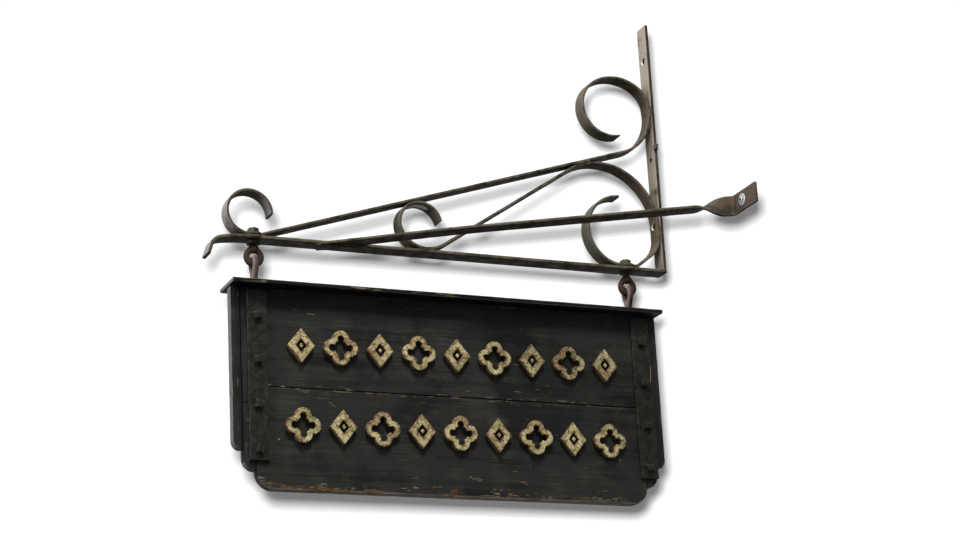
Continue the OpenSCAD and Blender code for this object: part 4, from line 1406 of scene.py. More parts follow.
@dataclass
class Stay(SubAssembly):
    """The side stay: a flat bar from the arm's front edge to its own foot on the wall.

    It runs straight in plan, climbs a little to a knee, twists by a quarter turn so that the
    edge that faced the wall comes up, and bends flat against the wall.
    """

    body: Body = Body.BRACKET
    start: Pair = (-593 * MM, -16 * MM)
    width: float = 30 * MM
    thickness: float = 5 * MM
    foot_w: float = 34 * MM
    bend_r: float = 11 * MM
    foot_y: float = -270 * MM
    foot_h: float = 36 * MM
    foot_len: float = 67 * MM
    knee: float = 180 * MM
    knee_h: float = 15.5 * MM
    start_h: float = 3 * MM
    twist_len: float = 56 * MM
    upright_len: float = 3 * MM
    knee_blend: float = 0.3 * MM
    end_r: float = 1.5 * MM
    run_rings: int = 190
    bend_rings: int = 15
    # Both ends along X from the joint, height and radius in mm, and seed of each bead
    welds: tuple[Floats, ...] = ((-12, 22, 5.4, 1.9, 21), (-8, 34, 0.4, 1.3, 22),
                                 (14, 26, 3.4, 3.0, 23))

    def skin(self) -> Skin:
        """The stay's skin, ring after ring from the arm to the end of the foot.

        In plan it is a straight line that touches the arc of the bend. Its height is the lower
        of two slopes a and b, blended as (a + b) / 2 - sqrt((a - b)^2 / 4 + blend^2). The
        section turns by 90 degrees times the ease of the part of the twist, and the foot is
        drawn in at both of its ends.

        Returns:
            The closed skin, in the frame.
        """
        bend_x = -self.thickness / 2 - self.bend_r
        away = np.array([bend_x - self.start[0], self.start[1] - self.foot_y])
        reach = hypot(*away)
        way = atan2(away[1], away[0]) - asin(self.bend_r / reach)
        plan = sqrt(reach**2 - self.bend_r**2)
        upright = plan - self.upright_len
        inside = -0.65 * self.width / tan(way)
        swing = pi / 2 - way
        run = np.linspace(inside, plan, self.run_rings)
        turns = np.linspace(0, swing, self.bend_rings)[1:]
        foot = stations_of(self.foot_len, 3 * MM, self.end_r)
        along = np.concatenate([run, plan + 0 * turns, plan + 0 * foot])
        slope = (self.foot_h - self.knee_h) / (upright - self.knee)
        first = self.start_h + along * (self.knee_h - self.start_h) / self.knee
        second = self.knee_h + (along - self.knee) * slope
        height = (first + second) / 2 - np.sqrt((first - second) ** 2 / 4 + self.knee_blend**2)
        height = np.where(along > upright, self.foot_h, height)
        part = np.clip((along - upright + self.twist_len) / self.twist_len, 0, 1)
        eased = ease(part)
        heading = -way - np.concatenate([0 * run, turns, swing + 0 * foot])
        own_x = np.concatenate([run, plan + self.bend_r * np.sin(turns), 0 * foot])
        own_y = np.concatenate([0 * run, self.bend_r * (np.cos(turns) - 1), 0 * foot])
        x = self.start[0] + own_x * cos(way) + own_y * sin(way)
        y = self.start[1] - own_x * sin(way) + own_y * cos(way)
        x[-len(foot):] = -self.thickness / 2
        y[-len(foot):] = self.foot_y - foot
        centres = np.stack([x, y, height - ORIGIN_H], axis=-1)
        climb = np.arctan(slope) * (1 - part)
        left = np.stack([-np.sin(heading), np.cos(heading), 0 * x], axis=-1)
        up = np.stack([-np.cos(heading) * np.sin(climb), -np.sin(heading) * np.sin(climb),
                       np.cos(climb)], axis=-1)
        turn = (eased * pi / 2)[:, None]
        across = left * np.cos(turn) + up * np.sin(turn)
        through = up * np.cos(turn) - left * np.sin(turn)
        width = self.width + (self.foot_w - self.width) * eased
        drawn = 0 * x
        drawn[-len(foot):] = ends_drawn_in(foot, self.end_r)
        waver = 0.4 * MM * smooth_noise(centres, 26 * MM, 2)
        rings, near = bar_rings(centres, across, through, width / 2 - drawn + waver,
                                self.thickness / 2 - drawn, 1.4 * MM)
        start_way = np.array([cos(way), -sin(way), 0])
        rings[0] = cut_to_plane(rings[0], start_way, (0, self.start[1], 0), Y_AXIS)
        return ring_skin(rings, near)

    def beads(self) -> list[Skin]:
        """Weld beads along the stay's joint with the arm's front edge."""
        beads = []
        for low, high, height, radius, seed in self.welds:
            steps = np.linspace(low, high, 46)[:, None] * MM
            start = lifted(self.start[0], self.start[1] - 0.5 * MM, height * MM)
            beads.append(bead(start + steps * X_AXIS, radius * MM, seed))
        return beads

    def build(self) -> None:
        """Shows the stay."""
        self.show(self.skin().roughened(0.2 * MM, 9 * MM, 4), "forged_stay", ["stay_bar"],
                  self.looks.stay)


@dataclass
class Bracket(SubAssembly):
    """Everything that stays on the wall."""

    body: Body = Body.BRACKET
    bar_w: float = 32 * MM
    bar_t: float = 6 * MM
    wall_h: float = 462 * MM
    bolt_holes: Pair = (88 * MM, 398 * MM)
    bolt_hole_r: float = 7 * MM
    # Height and radius
    spare_hole: Floats = (211 * MM, 4 * MM)
    arm_reach: float = 754.5 * MM
    droop: Bend = Bend(203 * MM, 12)
    curl: Bend = Bend(20 * MM, 60)
    tip_len: float = 17.5 * MM
    washer_t: Pair = (6 * MM, 4 * MM)
    washer_r: float = 11.5 * MM
    seat_h: float = 11 * MM
    nut_h: float = 10.5 * MM
    eye_r: float = 12 * MM
    eye_drop: float = 27 * MM
    neck_drop: float = 8 * MM
    fill_drop: float = 14.5 * MM
    fill_r: float = 6.5 * MM
    stay_t: float = 5 * MM
    screw_y: float = -295 * MM
    screw_h: float = 36 * MM
    screw_washer_t: float = 1.6 * MM
    # Y, height and radius in mm of the thick beads by each eye
    cakes: tuple[Triple, ...] = ((-13.6, 9.5, 3.0), (-15.0, 3.4, 3.2))

    def wall_bar(self) -> None:
        """Shows the wall bar, mitred against the arm, with its two bolt holes and spare hole."""
        low, high = lifted(-self.bar_t, -self.bar_w / 2, 0), lifted(0, self.bar_w / 2, self.wall_h)
        skin = box_skin(low, high, 1.9 * MM, (1.5 * MM, 3 * MM, 3 * MM), 3 * MM)
        skin = skin.roughened(0.25 * MM, 9 * MM, 6)
        mitre = -skin.points[:, 0] - ORIGIN_H
        skin.points[:, 2] = np.maximum(skin.points[:, 2], mitre)
        linings = (self.looks.strip_mortar, self.looks.mortar, None)
        holes = [*((height, self.bolt_hole_r) for height in self.bolt_holes), self.spare_hole]
        bores = [Bore(lifted(-self.bar_t - 2 * MM, 0, height), radius, 12 * MM, lining)
                 for (height, radius), lining in zip(holes, linings)]
        self.show(skin, "forged_wall_bar", ["wall_bar"], self.looks.bar, bores)

    def arm(self) -> None:
        """Shows the arm, mitred against the wall bar, with its drooped and curled tip."""
        bends = [Bend(0, self.arm_reach), self.droop, self.curl, Bend(0, self.tip_len)]
        bar = BentBar((0, self.bar_t / 2, 180), bends, self.bar_w, self.bar_t)
        mitre = (lifted(0, 0, 0), (1, 0, 1))
        skin = bar.skin(1.5 * MM, 1.0 * MM, nose_r=2 * MM, cut=mitre)
        self.show(skin.roughened(0.2 * MM, 10 * MM, 1), "forged_arm", ["arm_bar"], self.looks.iron)

    def nuts_and_washers(self) -> None:
        """Shows the hexagon nuts on the strips and the washers under the arm."""
        h, r = self.nut_h, self.washer_r
        nut = turned_skin([(7.9 * MM, -0.6 * MM), (8.5 * MM, 0.3 * MM), (8.5 * MM, 0.4 * h),
                           (8.5 * MM, 0.8 * h), (8.2 * MM, 0.91 * h), (7.5 * MM, 0.98 * h),
                           (5.5 * MM, h)], 6, 44, 72).roughened(0.35 * MM, 3.5 * MM, 31)
        for side, x, thick in zip(("left", "right"), EYE_XS, self.washer_t):
            washer = turned_skin([(r - 1.2 * MM, -thick), (r - 0.4 * MM, 0.9 * -thick),
                                  (r, 0.7 * -thick), (r, 0.3 * -thick), (r - 0.6 * MM, 0)])
            self.show(nut.shifted(lifted(x, 0, self.seat_h)), f"worn_{side}_nut",
                      [f"{side}_eye_nut"], self.looks.iron)
            self.show(washer.roughened(0.35 * MM, 4 * MM, 33).shifted(lifted(x, 0, 0)),
                      f"worn_{side}_washer", [f"{side}_eye_washer"], self.looks.iron)

    def eyes(self) -> None:
        """Shows the two eye bolts that hang from the arm."""
        turn = np.array([[0, 1, 0], [1, 0, 0], [0, 0, -1]])
        end = self.seat_h + self.nut_h + 0.6 * MM
        rods = eye_rods(self.eye_r, self.eye_drop - self.neck_drop, self.eye_drop + end)
        fill = ball(self.fill_r).shifted((0, 0, self.fill_drop - self.eye_drop))
        eye = rubbed_eye(fused([*rods, fill], 0.6 * MM), self.eye_r, False)
        for side, x in zip(("left", "right"), EYE_XS):
            self.show(eye.moved(turn, lifted(x, 0, -self.eye_drop)), f"turned_{side}_eye_bolt",
                      [f"{side}_eye_bolt"], self.looks.eyes)

    def foot_screw(self) -> None:
        """Shows the stay's washer and its screw, whose head's recess has painted shade."""
        turn = np.array([[0, 0, -1], [0, 1, 0], [1, 0, 0]])
        washer = turned_skin(MM * np.array([(9.6, 0), (10.2, 0.4), (10.2, 1.1), (9.5, 1.6), (6, 1.5)]))
        head = turned_skin(MM * np.array([(4.4, 0), (5.0, 0.5), (5.0, 1.5), (4.5, 2.5), (3.8, 2.9),
                                          (3.0, 2.7), (2.7, 1.0), (0.6, 0.8)]))
        # Wear below 0 in the head's recess, which the zinc paints as shade
        head = replace(head, wear=np.repeat([0, 0, 0, 0, 0, -0.6, -1, -1], TURNED_SIDES))
        shank = turned_skin(MM * np.array([(0.5, -31.6), (2.5, -23.6), (2.5, 0)]))
        seat = self.stay_t + self.screw_washer_t
        for piece, skin, x in (("stay_washer", washer, self.stay_t),
                               ("stay_screw", joined([head, shank]), seat)):
            self.show(skin.moved(turn, lifted(-x, self.screw_y, self.screw_h)), f"turned_{piece}",
                      [piece], self.looks.zinc)

    def welds(self, beads: Sequence[Skin]) -> None:
        """Shows the weld beads given, with the corner's, thick ones by the eyes, and a burr.

        Args:
            beads: the beads of the strips and the stay.
        """
        steps = np.linspace(-1, 1, 24)[:, None] * (self.bar_w / 2 - 1 * MM)
        corner = bead(lifted(-self.bar_t, 0, self.bar_t) + steps * Y_AXIS, 2.4 * MM, 41)
        steps = np.linspace(-1, 1, 16)[:, None] * 9.5 * MM
        cakes = [bead(lifted(x, y * MM, height * MM) + steps * X_AXIS, radius * MM,
                      43 + k + int(height))
                 for k, x in enumerate(EYE_XS) for y, height, radius in self.cakes]
        burr = box_skin(lifted(-7.5 * MM, -21.5 * MM, 224 * MM), lifted(0, -15 * MM, 235 * MM),
                        1.6 * MM, (1 * MM, 1 * MM, 1 * MM)).roughened(0.9 * MM, 3.5 * MM, 47)
        burr = replace(burr, wear=burr.wear - 0.8)
        self.show(joined([corner, burr, *cakes, *beads]), "weld_beads", [], self.looks.weld)

    def build(self) -> None:
        """Shows the whole bracket."""
        self.wall_bar()
        self.arm()
        strips = Scrollwork(self.frame, self.looks)
        strips.build()
        stay = Stay(self.frame, self.looks)
        stay.build()
        self.nuts_and_washers()
        self.eyes()
        self.welds([*strips.joint_beads(), *stay.beads()])
        self.foot_screw()


@dataclass
class Board(SubAssembly):
    """The wooden board: two planks between stiles, under a cap board."""

    body: Body = Body.SIGN
    left: float = -781 * MM
    right: float = -28 * MM
    recess: float = 1.5 * MM
    top: float = -80.5 * MM
    gap: float = 0.4 * MM
    seam_gap: float = 0.9 * MM
    outer_w: float = 16 * MM
    inner_w: float = 21 * MM
    outer_end: float = -345 * MM
    inner_end: float = -378 * MM
    joint: float = -297 * MM
    crack: float = -268.9 * MM
    plank_corner_r: float = 29 * MM
    outer_corner_r: float = 15 * MM
    inner_corner_r: float = 20 * MM
    cap_overhang: float = 3.5 * MM
    cap_t: float = 7 * MM

    def shaded_at_joints(self, skin: Skin, axis: int, places: Floats, width: float = 1.3 * MM) -> Skin:
        """Painted shade where a piece meets others: its wear drops by 2 at places along an axis."""
        away = np.min(np.abs(skin.points[:, [axis]] - np.asarray(places)), axis=1)
        return replace(skin, wear=skin.wear - 2 * np.exp(-((away / width) ** 2)))

    def worn(self, skin: Skin, grain: Floats, seed: int, chips: float = 1.4 * MM) -> Skin:
        """Wood with its grain raised, and with splinters gone along its arrises.

        Grain is layered noise with long cells along the wood. A splinter is what exceeds 0.25
        in a second noise, times the arris's wear cubed.

        Args:
            skin: the piece.
            grain: the noise's cell along X, Y and Z.
            seed: picks the grain.
            chips: greatest depth of a splinter.

        Returns:
            The worn piece.
        """
        raised = 0.20 * MM * layered_noise(skin.points, grain, seed, 4)
        split = smooth_noise(skin.points, np.maximum(np.asarray(grain) / 5, 6 * MM), seed + 9)
        gone = np.clip(split - 0.25, 0, 1) * skin.wear**3 * chips
        worn = skin.pushed(raised - gone)
        return replace(worn, wear=np.clip(skin.wear + 60 * gone, 0, 1))

    def planks(self) -> None:
        """Shows the upper and the lower plank, the lower one with two round corners."""
        left = self.left + self.outer_w + self.inner_w
        right = self.right - self.outer_w - self.inner_w
        half_gap = self.seam_gap / 2
        for name, low, high, seed in (("upper_plank", SEAM_H + half_gap, self.top, 51),
                                      ("lower_plank", FOOT_H, SEAM_H - half_gap, 57)):
            skin = box_skin(lifted(left, -BOARD_HALF_T, low), lifted(right, BOARD_HALF_T, high),
                            1.3 * MM, (4 * MM, 2 * MM, 0.95 * MM), 5 * MM)
            if low == FOOT_H:
                skin = corner_rounded(skin, left, low, 1, self.plank_corner_r)
                skin = corner_rounded(skin, right, low, -1, self.plank_corner_r)
            skin = self.worn(skin, (110 * MM, 40 * MM, 3.4 * MM), seed)
            height = skin.points[:, 2] + ORIGIN_H
            foot = np.exp(-(height - FOOT_H) / (3.5 * MM))
            seam = np.exp(-(((height - SEAM_H) / (4 * MM)) ** 2))
            skin = replace(skin, wear=skin.wear + 0.6 * foot + 0.15 * seam)
            # Painted shade along the seam and where the planks meet the stiles
            skin = self.shaded_at_joints(skin, 2, [SEAM_H - ORIGIN_H], 1.5 * MM)
            skin = self.shaded_at_joints(skin, 0, [left, right])
            self.show(skin, f"weathered_{name}", [name], self.looks.along)

    def stile(self, end: End, name: str, near: float, far: float, half_t: float, low: float,
              high: float, round_r: float, seed: int) -> None:
        """Shows an upright length of a stile.

        Args:
            end: the board's end that it stands at.
            name: the CAD node that it stands for.
            near: distance of its outer edge from the board's end.
            far: distance of its inner edge.
            half_t: half its thickness.
            low: height of its lower end.
            high: height of its upper end.
            round_r: radius of its lower outer corner, 0 where it is square.
            seed: picks its grain.
        """
        xs, inward = (self.left + near, self.left + far), 1
        if end is End.RIGHT:
            xs, inward = (self.right - far, self.right - near), -1
        skin = box_skin(lifted(xs[0], -half_t, low), lifted(xs[1], half_t, high), 1.0 * MM,
                        (1.2 * MM, 1.6 * MM, 1.5 * MM), 3.5 * MM)
        if round_r:
            skin = corner_rounded(skin, xs[0] if inward > 0 else xs[1], low, inward, round_r)
        skin = self.worn(skin, (3.4 * MM, 12 * MM, 90 * MM), seed, 0.9 * MM)
        # Painted shade where the stile meets its neighbours and, on an outer stile, along its crack
        meets = xs if near else xs[1:] if inward > 0 else xs[:1]
        skin = self.shaded_at_joints(skin, 0, meets)
        if near:
            skin = self.shaded_at_joints(skin, 2, [self.crack - ORIGIN_H], 1.0 * MM)
        self.show(skin, f"weathered_{name}", [name], self.looks.upright)

    def stiles(self) -> None:
        """Shows the outer and inner stiles of both ends; the left inner one has a joint."""
        near, far = self.outer_w, self.outer_w + self.inner_w - self.gap
        thin, top, round_r = BOARD_HALF_T - self.recess, self.top, self.inner_corner_r
        for end in End:
            self.stile(end, f"{end.value}_outer_stile", 0, self.outer_w - self.gap, BOARD_HALF_T,
                       self.outer_end, top, self.outer_corner_r, 61)
        for end, name, low, high, radius, seed in (
                (End.LEFT, "left_inner_stile_upper", self.joint, top, 0, 64),
                (End.LEFT, "left_inner_stile_lower", self.inner_end, self.joint - self.gap,
                 round_r, 66),
                (End.RIGHT, "right_inner_stile", self.inner_end, top, round_r, 68)):
            self.stile(end, name, near, far, thin, low, high, radius, seed)

    def cap(self) -> None:
        """Shows the cap board with a split in its left end.

        The split's depth is 1.6 mm times exp(-(d / 0.9 mm)^2), with d the distance from a
        wavy line, and fades out to the right.
        """
        low = lifted(self.left - self.cap_overhang, -CAP_HALF_W, self.top)
        high = lifted(self.right + self.cap_overhang, CAP_HALF_W, self.top + self.cap_t)
        skin = box_skin(low, high, 1.8 * MM, (5 * MM, 1.2 * MM, 1.2 * MM), 4 * MM)
        skin = self.worn(skin, (120 * MM, 4 * MM, 3 * MM), 71, 1.2 * MM)
        x, y, _ = skin.points.T
        inside = np.clip(1 - (x - low[0]) / (26 * MM), 0, 1)
        line = 7 * MM + 1.5 * MM * np.sin((x - low[0]) / (6 * MM))
        split = np.exp(-(((y - line) / (0.9 * MM)) ** 2)) * inside
        skin = replace(skin.pushed(-1.6 * MM * split), wear=np.maximum(skin.wear, split))
        self.show(skin, "weathered_cap", ["cap_board"], self.looks.cap)

    def build(self) -> None:
        """Shows the board, and dresses the fastenings inside it."""
        self.planks()
        self.stiles()
        self.cap()
        self.keep("cap_nails", self.looks.painted)
        for node in ("plank_tongue", "left_stile_dowels", "right_stile_dowels"):
            self.keep(node, self.looks.bare)


@dataclass
class Ironwork(SubAssembly):
    """What is fixed to the board: straps with their bolts and nuts, and the two sign eyes."""

    body: Body = Body.SIGN
    strap_w: float = 33 * MM
    strap_top: float = -83.5 * MM
    strap_end: float = -363 * MM
    strap_xs: Pair = (-739 * MM, -60 * MM)
    bolt_top: float = -128 * MM
    bolt_pitch: float = 72.5 * MM
    bolt_count: int = 4
    bolt_r: float = 3.2 * MM
    head_r: float = 6.4 * MM
    head_h: float = 7 * MM
    nut_h: float = 6 * MM
    eye_r: float = 10.5 * MM
    eye_leg: float = 26 * MM
    eye_stem: float = 60 * MM
    eye_drop: float = 39.7 * MM

    def straps(self) -> None:
        """Shows the four straps, whose thick paint lies in lumps over rust."""
        for face in Face:
            where = face.name.lower()
            ys = sorted([face.value * BOARD_HALF_T, face.value * (BOARD_HALF_T + STRAP_T)])
            for end, x in zip(End, self.strap_xs):
                low = lifted(x - self.strap_w / 2, ys[0], self.strap_end)
                high = lifted(x + self.strap_w / 2, ys[1], self.strap_top)
                skin = box_skin(low, high, 1.3 * MM, (1.6 * MM, 1.4 * MM, 2 * MM), 3 * MM)
                seed = 80 + int(x * 100) + face.value
                depth = 0.6 * MM * layered_noise(skin.points, 10 * MM, seed) - 0.15 * MM
                self.show(skin.pushed(depth), f"lumpy_{where}_{end.value}_strap",
                          [f"{where}_{end.value}_strap"], self.looks.painted)

    def bolts(self) -> None:
        """Shows the square bolt heads on the front, and nuts and bolt ends on the rear."""
        forward = np.array([[1, 0, 0], [0, 0, -1], [0, 1, 0]])
        face = BOARD_HALF_T + STRAP_T
        head = turned_skin(cap_profile(self.head_r, self.head_h), 4, 11)
        nut = turned_skin(cap_profile(self.head_r, self.nut_h), 4, 11)
        r = self.bolt_r
        stub = turned_skin([(r, 4 * MM), (r, 8.2 * MM), (r - 0.5 * MM, 8.9 * MM),
                            (r - 1.7 * MM, 9 * MM)]).roughened(0.15 * MM, 2 * MM, 99)
        for end, x in zip(End, self.strap_xs):
            heads, nuts, ends = [], [], []
            for k in range(self.bolt_count):
                height = self.bolt_top - k * self.bolt_pitch - ORIGIN_H
                front, rear = (x, -face, height), (x, face, height)
                spin = twist(0.25 * sin(7.3 * k + 40 * x))
                heads.append(head.roughened(0.3 * MM, 4 * MM, 90 + k).moved(forward @ spin, front))
                nuts.append(nut.roughened(0.3 * MM, 4 * MM, 95 + k).moved(forward.T @ spin, rear))
                ends.append(stub.moved(forward.T, rear))
            self.show(joined(heads + ends), f"lumpy_{end.value}_bolts",
                      [f"{end.value}_strap_bolts"], self.looks.painted)
            self.show(joined(nuts), f"lumpy_{end.value}_nuts", [f"{end.value}_strap_nuts"],
                      self.looks.painted)

    def eyes(self) -> None:
        """Shows the two eyes that are screwed through the cap board."""
        rods = eye_rods(self.eye_r, self.eye_leg, self.eye_stem)
        eye = rubbed_eye(fused(rods, 0.6 * MM), self.eye_r, True)
        for end, x in zip(End, EYE_XS):
            self.show(eye.shifted(lifted(x, 0, -self.eye_drop)), f"turned_{end.value}_sign_eye",
                      [f"{end.value}_sign_eye"], self.looks.hung)

    def build(self) -> None:
        """Shows the ironwork."""
        self.straps()
        self.bolts()
        self.eyes()


@dataclass
class Ornament(SubAssembly):
    """Rows of pierced lozenges and quatrefoils in raised, gilded wood, on both faces."""

    body: Body = Body.SIGN
    height: float = 58 * MM
    width: float = 46 * MM
    rim: float = 11 * MM
    foil_rim: float = 9 * MM
    core: float = 0.42
    thickness: float = 9 * MM
    pitch: float = 67 * MM
    middle: float = -399.5 * MM
    count: int = 9
    rows: tuple[tuple[str, float], ...] = (("upper", -173.5 * MM), ("lower", -303.5 * MM))
    points: int = 144

    def angles(self) -> Array:
        """Angles of the outlines' points."""
        return (np.arange(self.points) + 0.5) * 2 * pi / self.points

    def lozenge_line(self, half_w: float, half_h: float) -> Array:
        """Outline of a lozenge: it reaches 1 / (|cos a| / half width + |sin a| / half height)."""
        angle = self.angles()
        return self.outline(1 / (np.abs(np.cos(angle)) / half_w + np.abs(np.sin(angle)) / half_h))

    def foil_line(self, lobe_r: float, middle_r: float) -> Array:
        """Outline of four round foils about a round middle.

        A foil of radius r at distance c from the middle reaches
        c cos a + sqrt(r^2 - c^2 sin^2 a), where that root is real.

        Args:
            lobe_r: radius of the foils.
            middle_r: radius of the middle.

        Returns:
            The outline's points.
        """
        quarter = pi / 2
        angle = (self.angles() + quarter / 2) % quarter - quarter / 2
        c = self.height / 4
        root = lobe_r**2 - (c * np.sin(angle)) ** 2
        foil = np.where(root >= 0, c * np.cos(angle) + np.sqrt(np.maximum(root, 0)), 0)
        return self.outline(np.maximum(foil, middle_r))

    def outline(self, reach: Array) -> Array:
        """Points of the XZ plane at a reach from the middle in each direction."""
        angle = self.angles()
        return np.stack([reach * np.cos(angle), 0 * angle, reach * np.sin(angle)], axis=-1)

    def border(self, outer: Array, inner: Array) -> Skin:
        """A flat border between two outlines, from Y = 0 forward, with rounded arrises.

        Args:
            outer: points of the outer outline.
            inner: points of the inner one, in the same directions.

        Returns:
            The closed skin.
        """
        away = outer - inner
        wide = np.linalg.norm(away, axis=1)
        centres = (outer + inner) / 2 - self.thickness / 2 * Y_AXIS
        rings, near = bar_rings(centres, away / wide[:, None], -Y_AXIS, wide / 2,
                                self.thickness / 2, 1.0 * MM)
        return ring_skin(rings, near, closed=True)

    def lozenge(self) -> Skin:
        """A lozenge border with a small lozenge inside it."""
        half_w, half_h = self.width / 2, self.height / 2
        slant = self.rim * hypot(half_w, half_h)
        inner_w, inner_h = half_w - slant / half_h, half_h - slant / half_w
        border = self.border(self.lozenge_line(half_w, half_h), self.lozenge_line(inner_w, inner_h))
        core = self.lozenge_line(inner_w * self.core, inner_h * self.core)
        levels = ((1, 0), (1, 0.85), (0.93, 0.95), (0.75, 1.0), (0.4, 1.0))
        rings = np.stack([core * share - level * self.thickness * Y_AXIS for share, level in levels])
        wear = np.broadcast_to(np.array([0, 1, 0.6, 0.2, 0])[:, None], rings.shape[:2])
        return joined([border, ring_skin(rings, wear)])

    def quatrefoil(self) -> Skin:
        """A quatrefoil border with an opening in each lobe, joined to one in the middle."""
        lobe_r = self.height / 4
        inner_r, middle_r = lobe_r - self.foil_rim, lobe_r * sqrt(2) - self.foil_rim
        return self.border(self.foil_line(lobe_r, lobe_r), self.foil_line(inner_r, middle_r))

    def build(self) -> None:
        """Shows the four rows; neighbouring rows start with the other shape."""
        shapes = (self.lozenge(), self.quatrefoil())
        for face in Face:
            where = face.name.lower()
            turn = np.diag([1.0, -float(face.value), 1.0])
            for row, (level, height) in enumerate(self.rows):
                motifs = []
                for i in range(self.count):
                    x = self.middle + (i - (self.count - 1) / 2) * self.pitch
                    place = lifted(x, face.value * BOARD_HALF_T, height)
                    motif = shapes[(i + row) % 2].moved(turn, place)
                    depth = 0.22 * MM * layered_noise(motif.points, 5 * MM, 120 + i)
                    motifs.append(motif.pushed(depth - 0.1 * MM))
                self.show(joined(motifs), f"flaked_{where}_{level}_ornament",
                          [f"{where}_{level}_ornament"], self.looks.gilt, sharp_deg=55)


@dataclass
class Marks(SubAssembly):
    """Places where the board's black paint is scraped off: scratches, specks, a worn seam."""

    body: Body = Body.SIGN
    left: float = -735 * MM
    right: float = -75 * MM
    dashes: int = 34
    clusters: int = 24

    def scrape(self, start: Pair, end: Pair, y: float, width: float, seed: int) -> Skin:
        """A flat, ragged sliver of bare wood that lies on a face.

        Args:
            start: X and height of one end.
            end: X and height of the other.
            y: the face's place along Y.
            width: the sliver's greatest width.
            seed: picks its ragged shape.

        Returns:
            The closed skin, a quarter of a millimetre proud of the face.
        """
        way = np.subtract(end, start)
        part = np.linspace(-1, 1, 9)
        middle = (np.add(start, end) / 2) + part[:, None] * way / 2
        centres = np.stack([middle[:, 0], 0 * part + y, middle[:, 1] - ORIGIN_H], axis=-1)
        swell = np.sqrt(1.03 - part**2) * (1 + 0.35 * smooth_noise(centres, 3 * MM, seed))
        side = np.array([-way[1], 0, way[0]]) / hypot(*way)
        rings, near = bar_rings(centres, side, -Y_AXIS, np.maximum(width / 2 * swell, 0.12 * MM),
                                0.25 * MM, 0.08 * MM)
        return ring_skin(rings, 0 * near)

    def worn_seam(self) -> list[Skin]:
        """Short dashes above and below the seam, longer ones near the left end."""
        rng = np.random.default_rng(7)
        skins = []
        for k in range(self.dashes):
            x = self.left + (self.right - self.left) * rng.uniform(0, 1) ** 1.5
            long = rng.uniform(3, 16) * MM
            height = SEAM_H + rng.choice([-1, 1]) * rng.uniform(1.0, 3.4) * MM
            width = rng.uniform(0.5, 1.1) * MM
            skins.append(self.scrape((x, height), (x + long, height), -BOARD_HALF_T, width, k))
        return skins

    def worn_foot(self) -> list[Skin]:
        """Dashes in clusters over the lower plank's foot, closer together near its edge."""
        rng = np.random.default_rng(11)
        skins = []
        for k in range(self.clusters):
            middle = self.left + (self.right - self.left) * rng.uniform(0.02, 0.98)
            low = FOOT_H + 3 * MM + 30 * MM * rng.uniform(0, 1) ** 2
            for i in range(rng.integers(2, 7)):
                x = middle + rng.normal(0, 9 * MM)
                height = max(low + rng.normal(0, 1.8 * MM), FOOT_H + 1.8 * MM)
                x = min(max(x, self.left + 28 * MM), self.right - 40 * MM)
                end = (x + rng.uniform(2, 11) * MM, height + 0.3 * MM)
                width = rng.uniform(0.5, 1.3) * MM
                skins.append(self.scrape((x, height), end, -BOARD_HALF_T, width, 10 * k + i))
        return skins

    def build(self) -> None:
        """Shows the marks; a scratch has X and height of both ends and its width in mm, and Y."""
        board, strap, cap = -BOARD_HALF_T, -BOARD_HALF_T - STRAP_T, -CAP_HALF_W
        scratches = ((-622, -260.8, -613, -268.5, 1.1, board),
                     (-614.5, -265.5, -609, -270, 0.9, board),
                     (-709.5, -327.7, -706.3, -327.7, 1.6, strap),
                     (-114, -332.7, -110.4, -332.7, 1.4, board),
                     (-44.3, -166.4, -46.9, -198, 1.1, strap), (-52, -101, -47, -102, 1.4, strap),
                     (-588.8, -76.2, -559.7, -77.0, 3.2, cap), (-420, -75.4, -406, -75.6, 1.2, cap),
                     (-655, -118, -640, -118.4, 0.9, board), (-300, -226, -281, -226.4, 0.8, board))
        skins = [self.scrape((a * MM, b * MM), (c * MM, d * MM), y, width * MM, seed)
                 for seed, (a, b, c, d, width, y) in enumerate(scratches)]
        self.show(joined(skins + self.worn_seam() + self.worn_foot()), "paint_scrapes", [],
                  self.looks.scraped)


@dataclass(frozen=True)
class Lamp:
    """A square lamp that looks at the middle of the sign.

    The way leads from there to the lamp. The level is how bright a white card that faces the
    lamp renders.
    """

    name: str
    way: Floats
    distance: float
    level: float
    size: float

    def hung(self, centre: Floats) -> bpy.types.Object:
        """Adds the lamp to the scene.

        Args:
            centre: the middle of the sign.

        Returns:
            The lamp.
        """
        data = bpy.data.lights.new(self.name, "AREA")
        data.shape, data.size = "SQUARE", self.size
        data.energy = self.level * (pi * self.distance) ** 2
        lamp = placed(self.name, data)
        out = Vector(self.way).normalized()
        lamp.location = Vector(centre) + out * self.distance
        lamp.rotation_euler = out.to_track_quat("Z", "Y").to_euler()
        return lamp


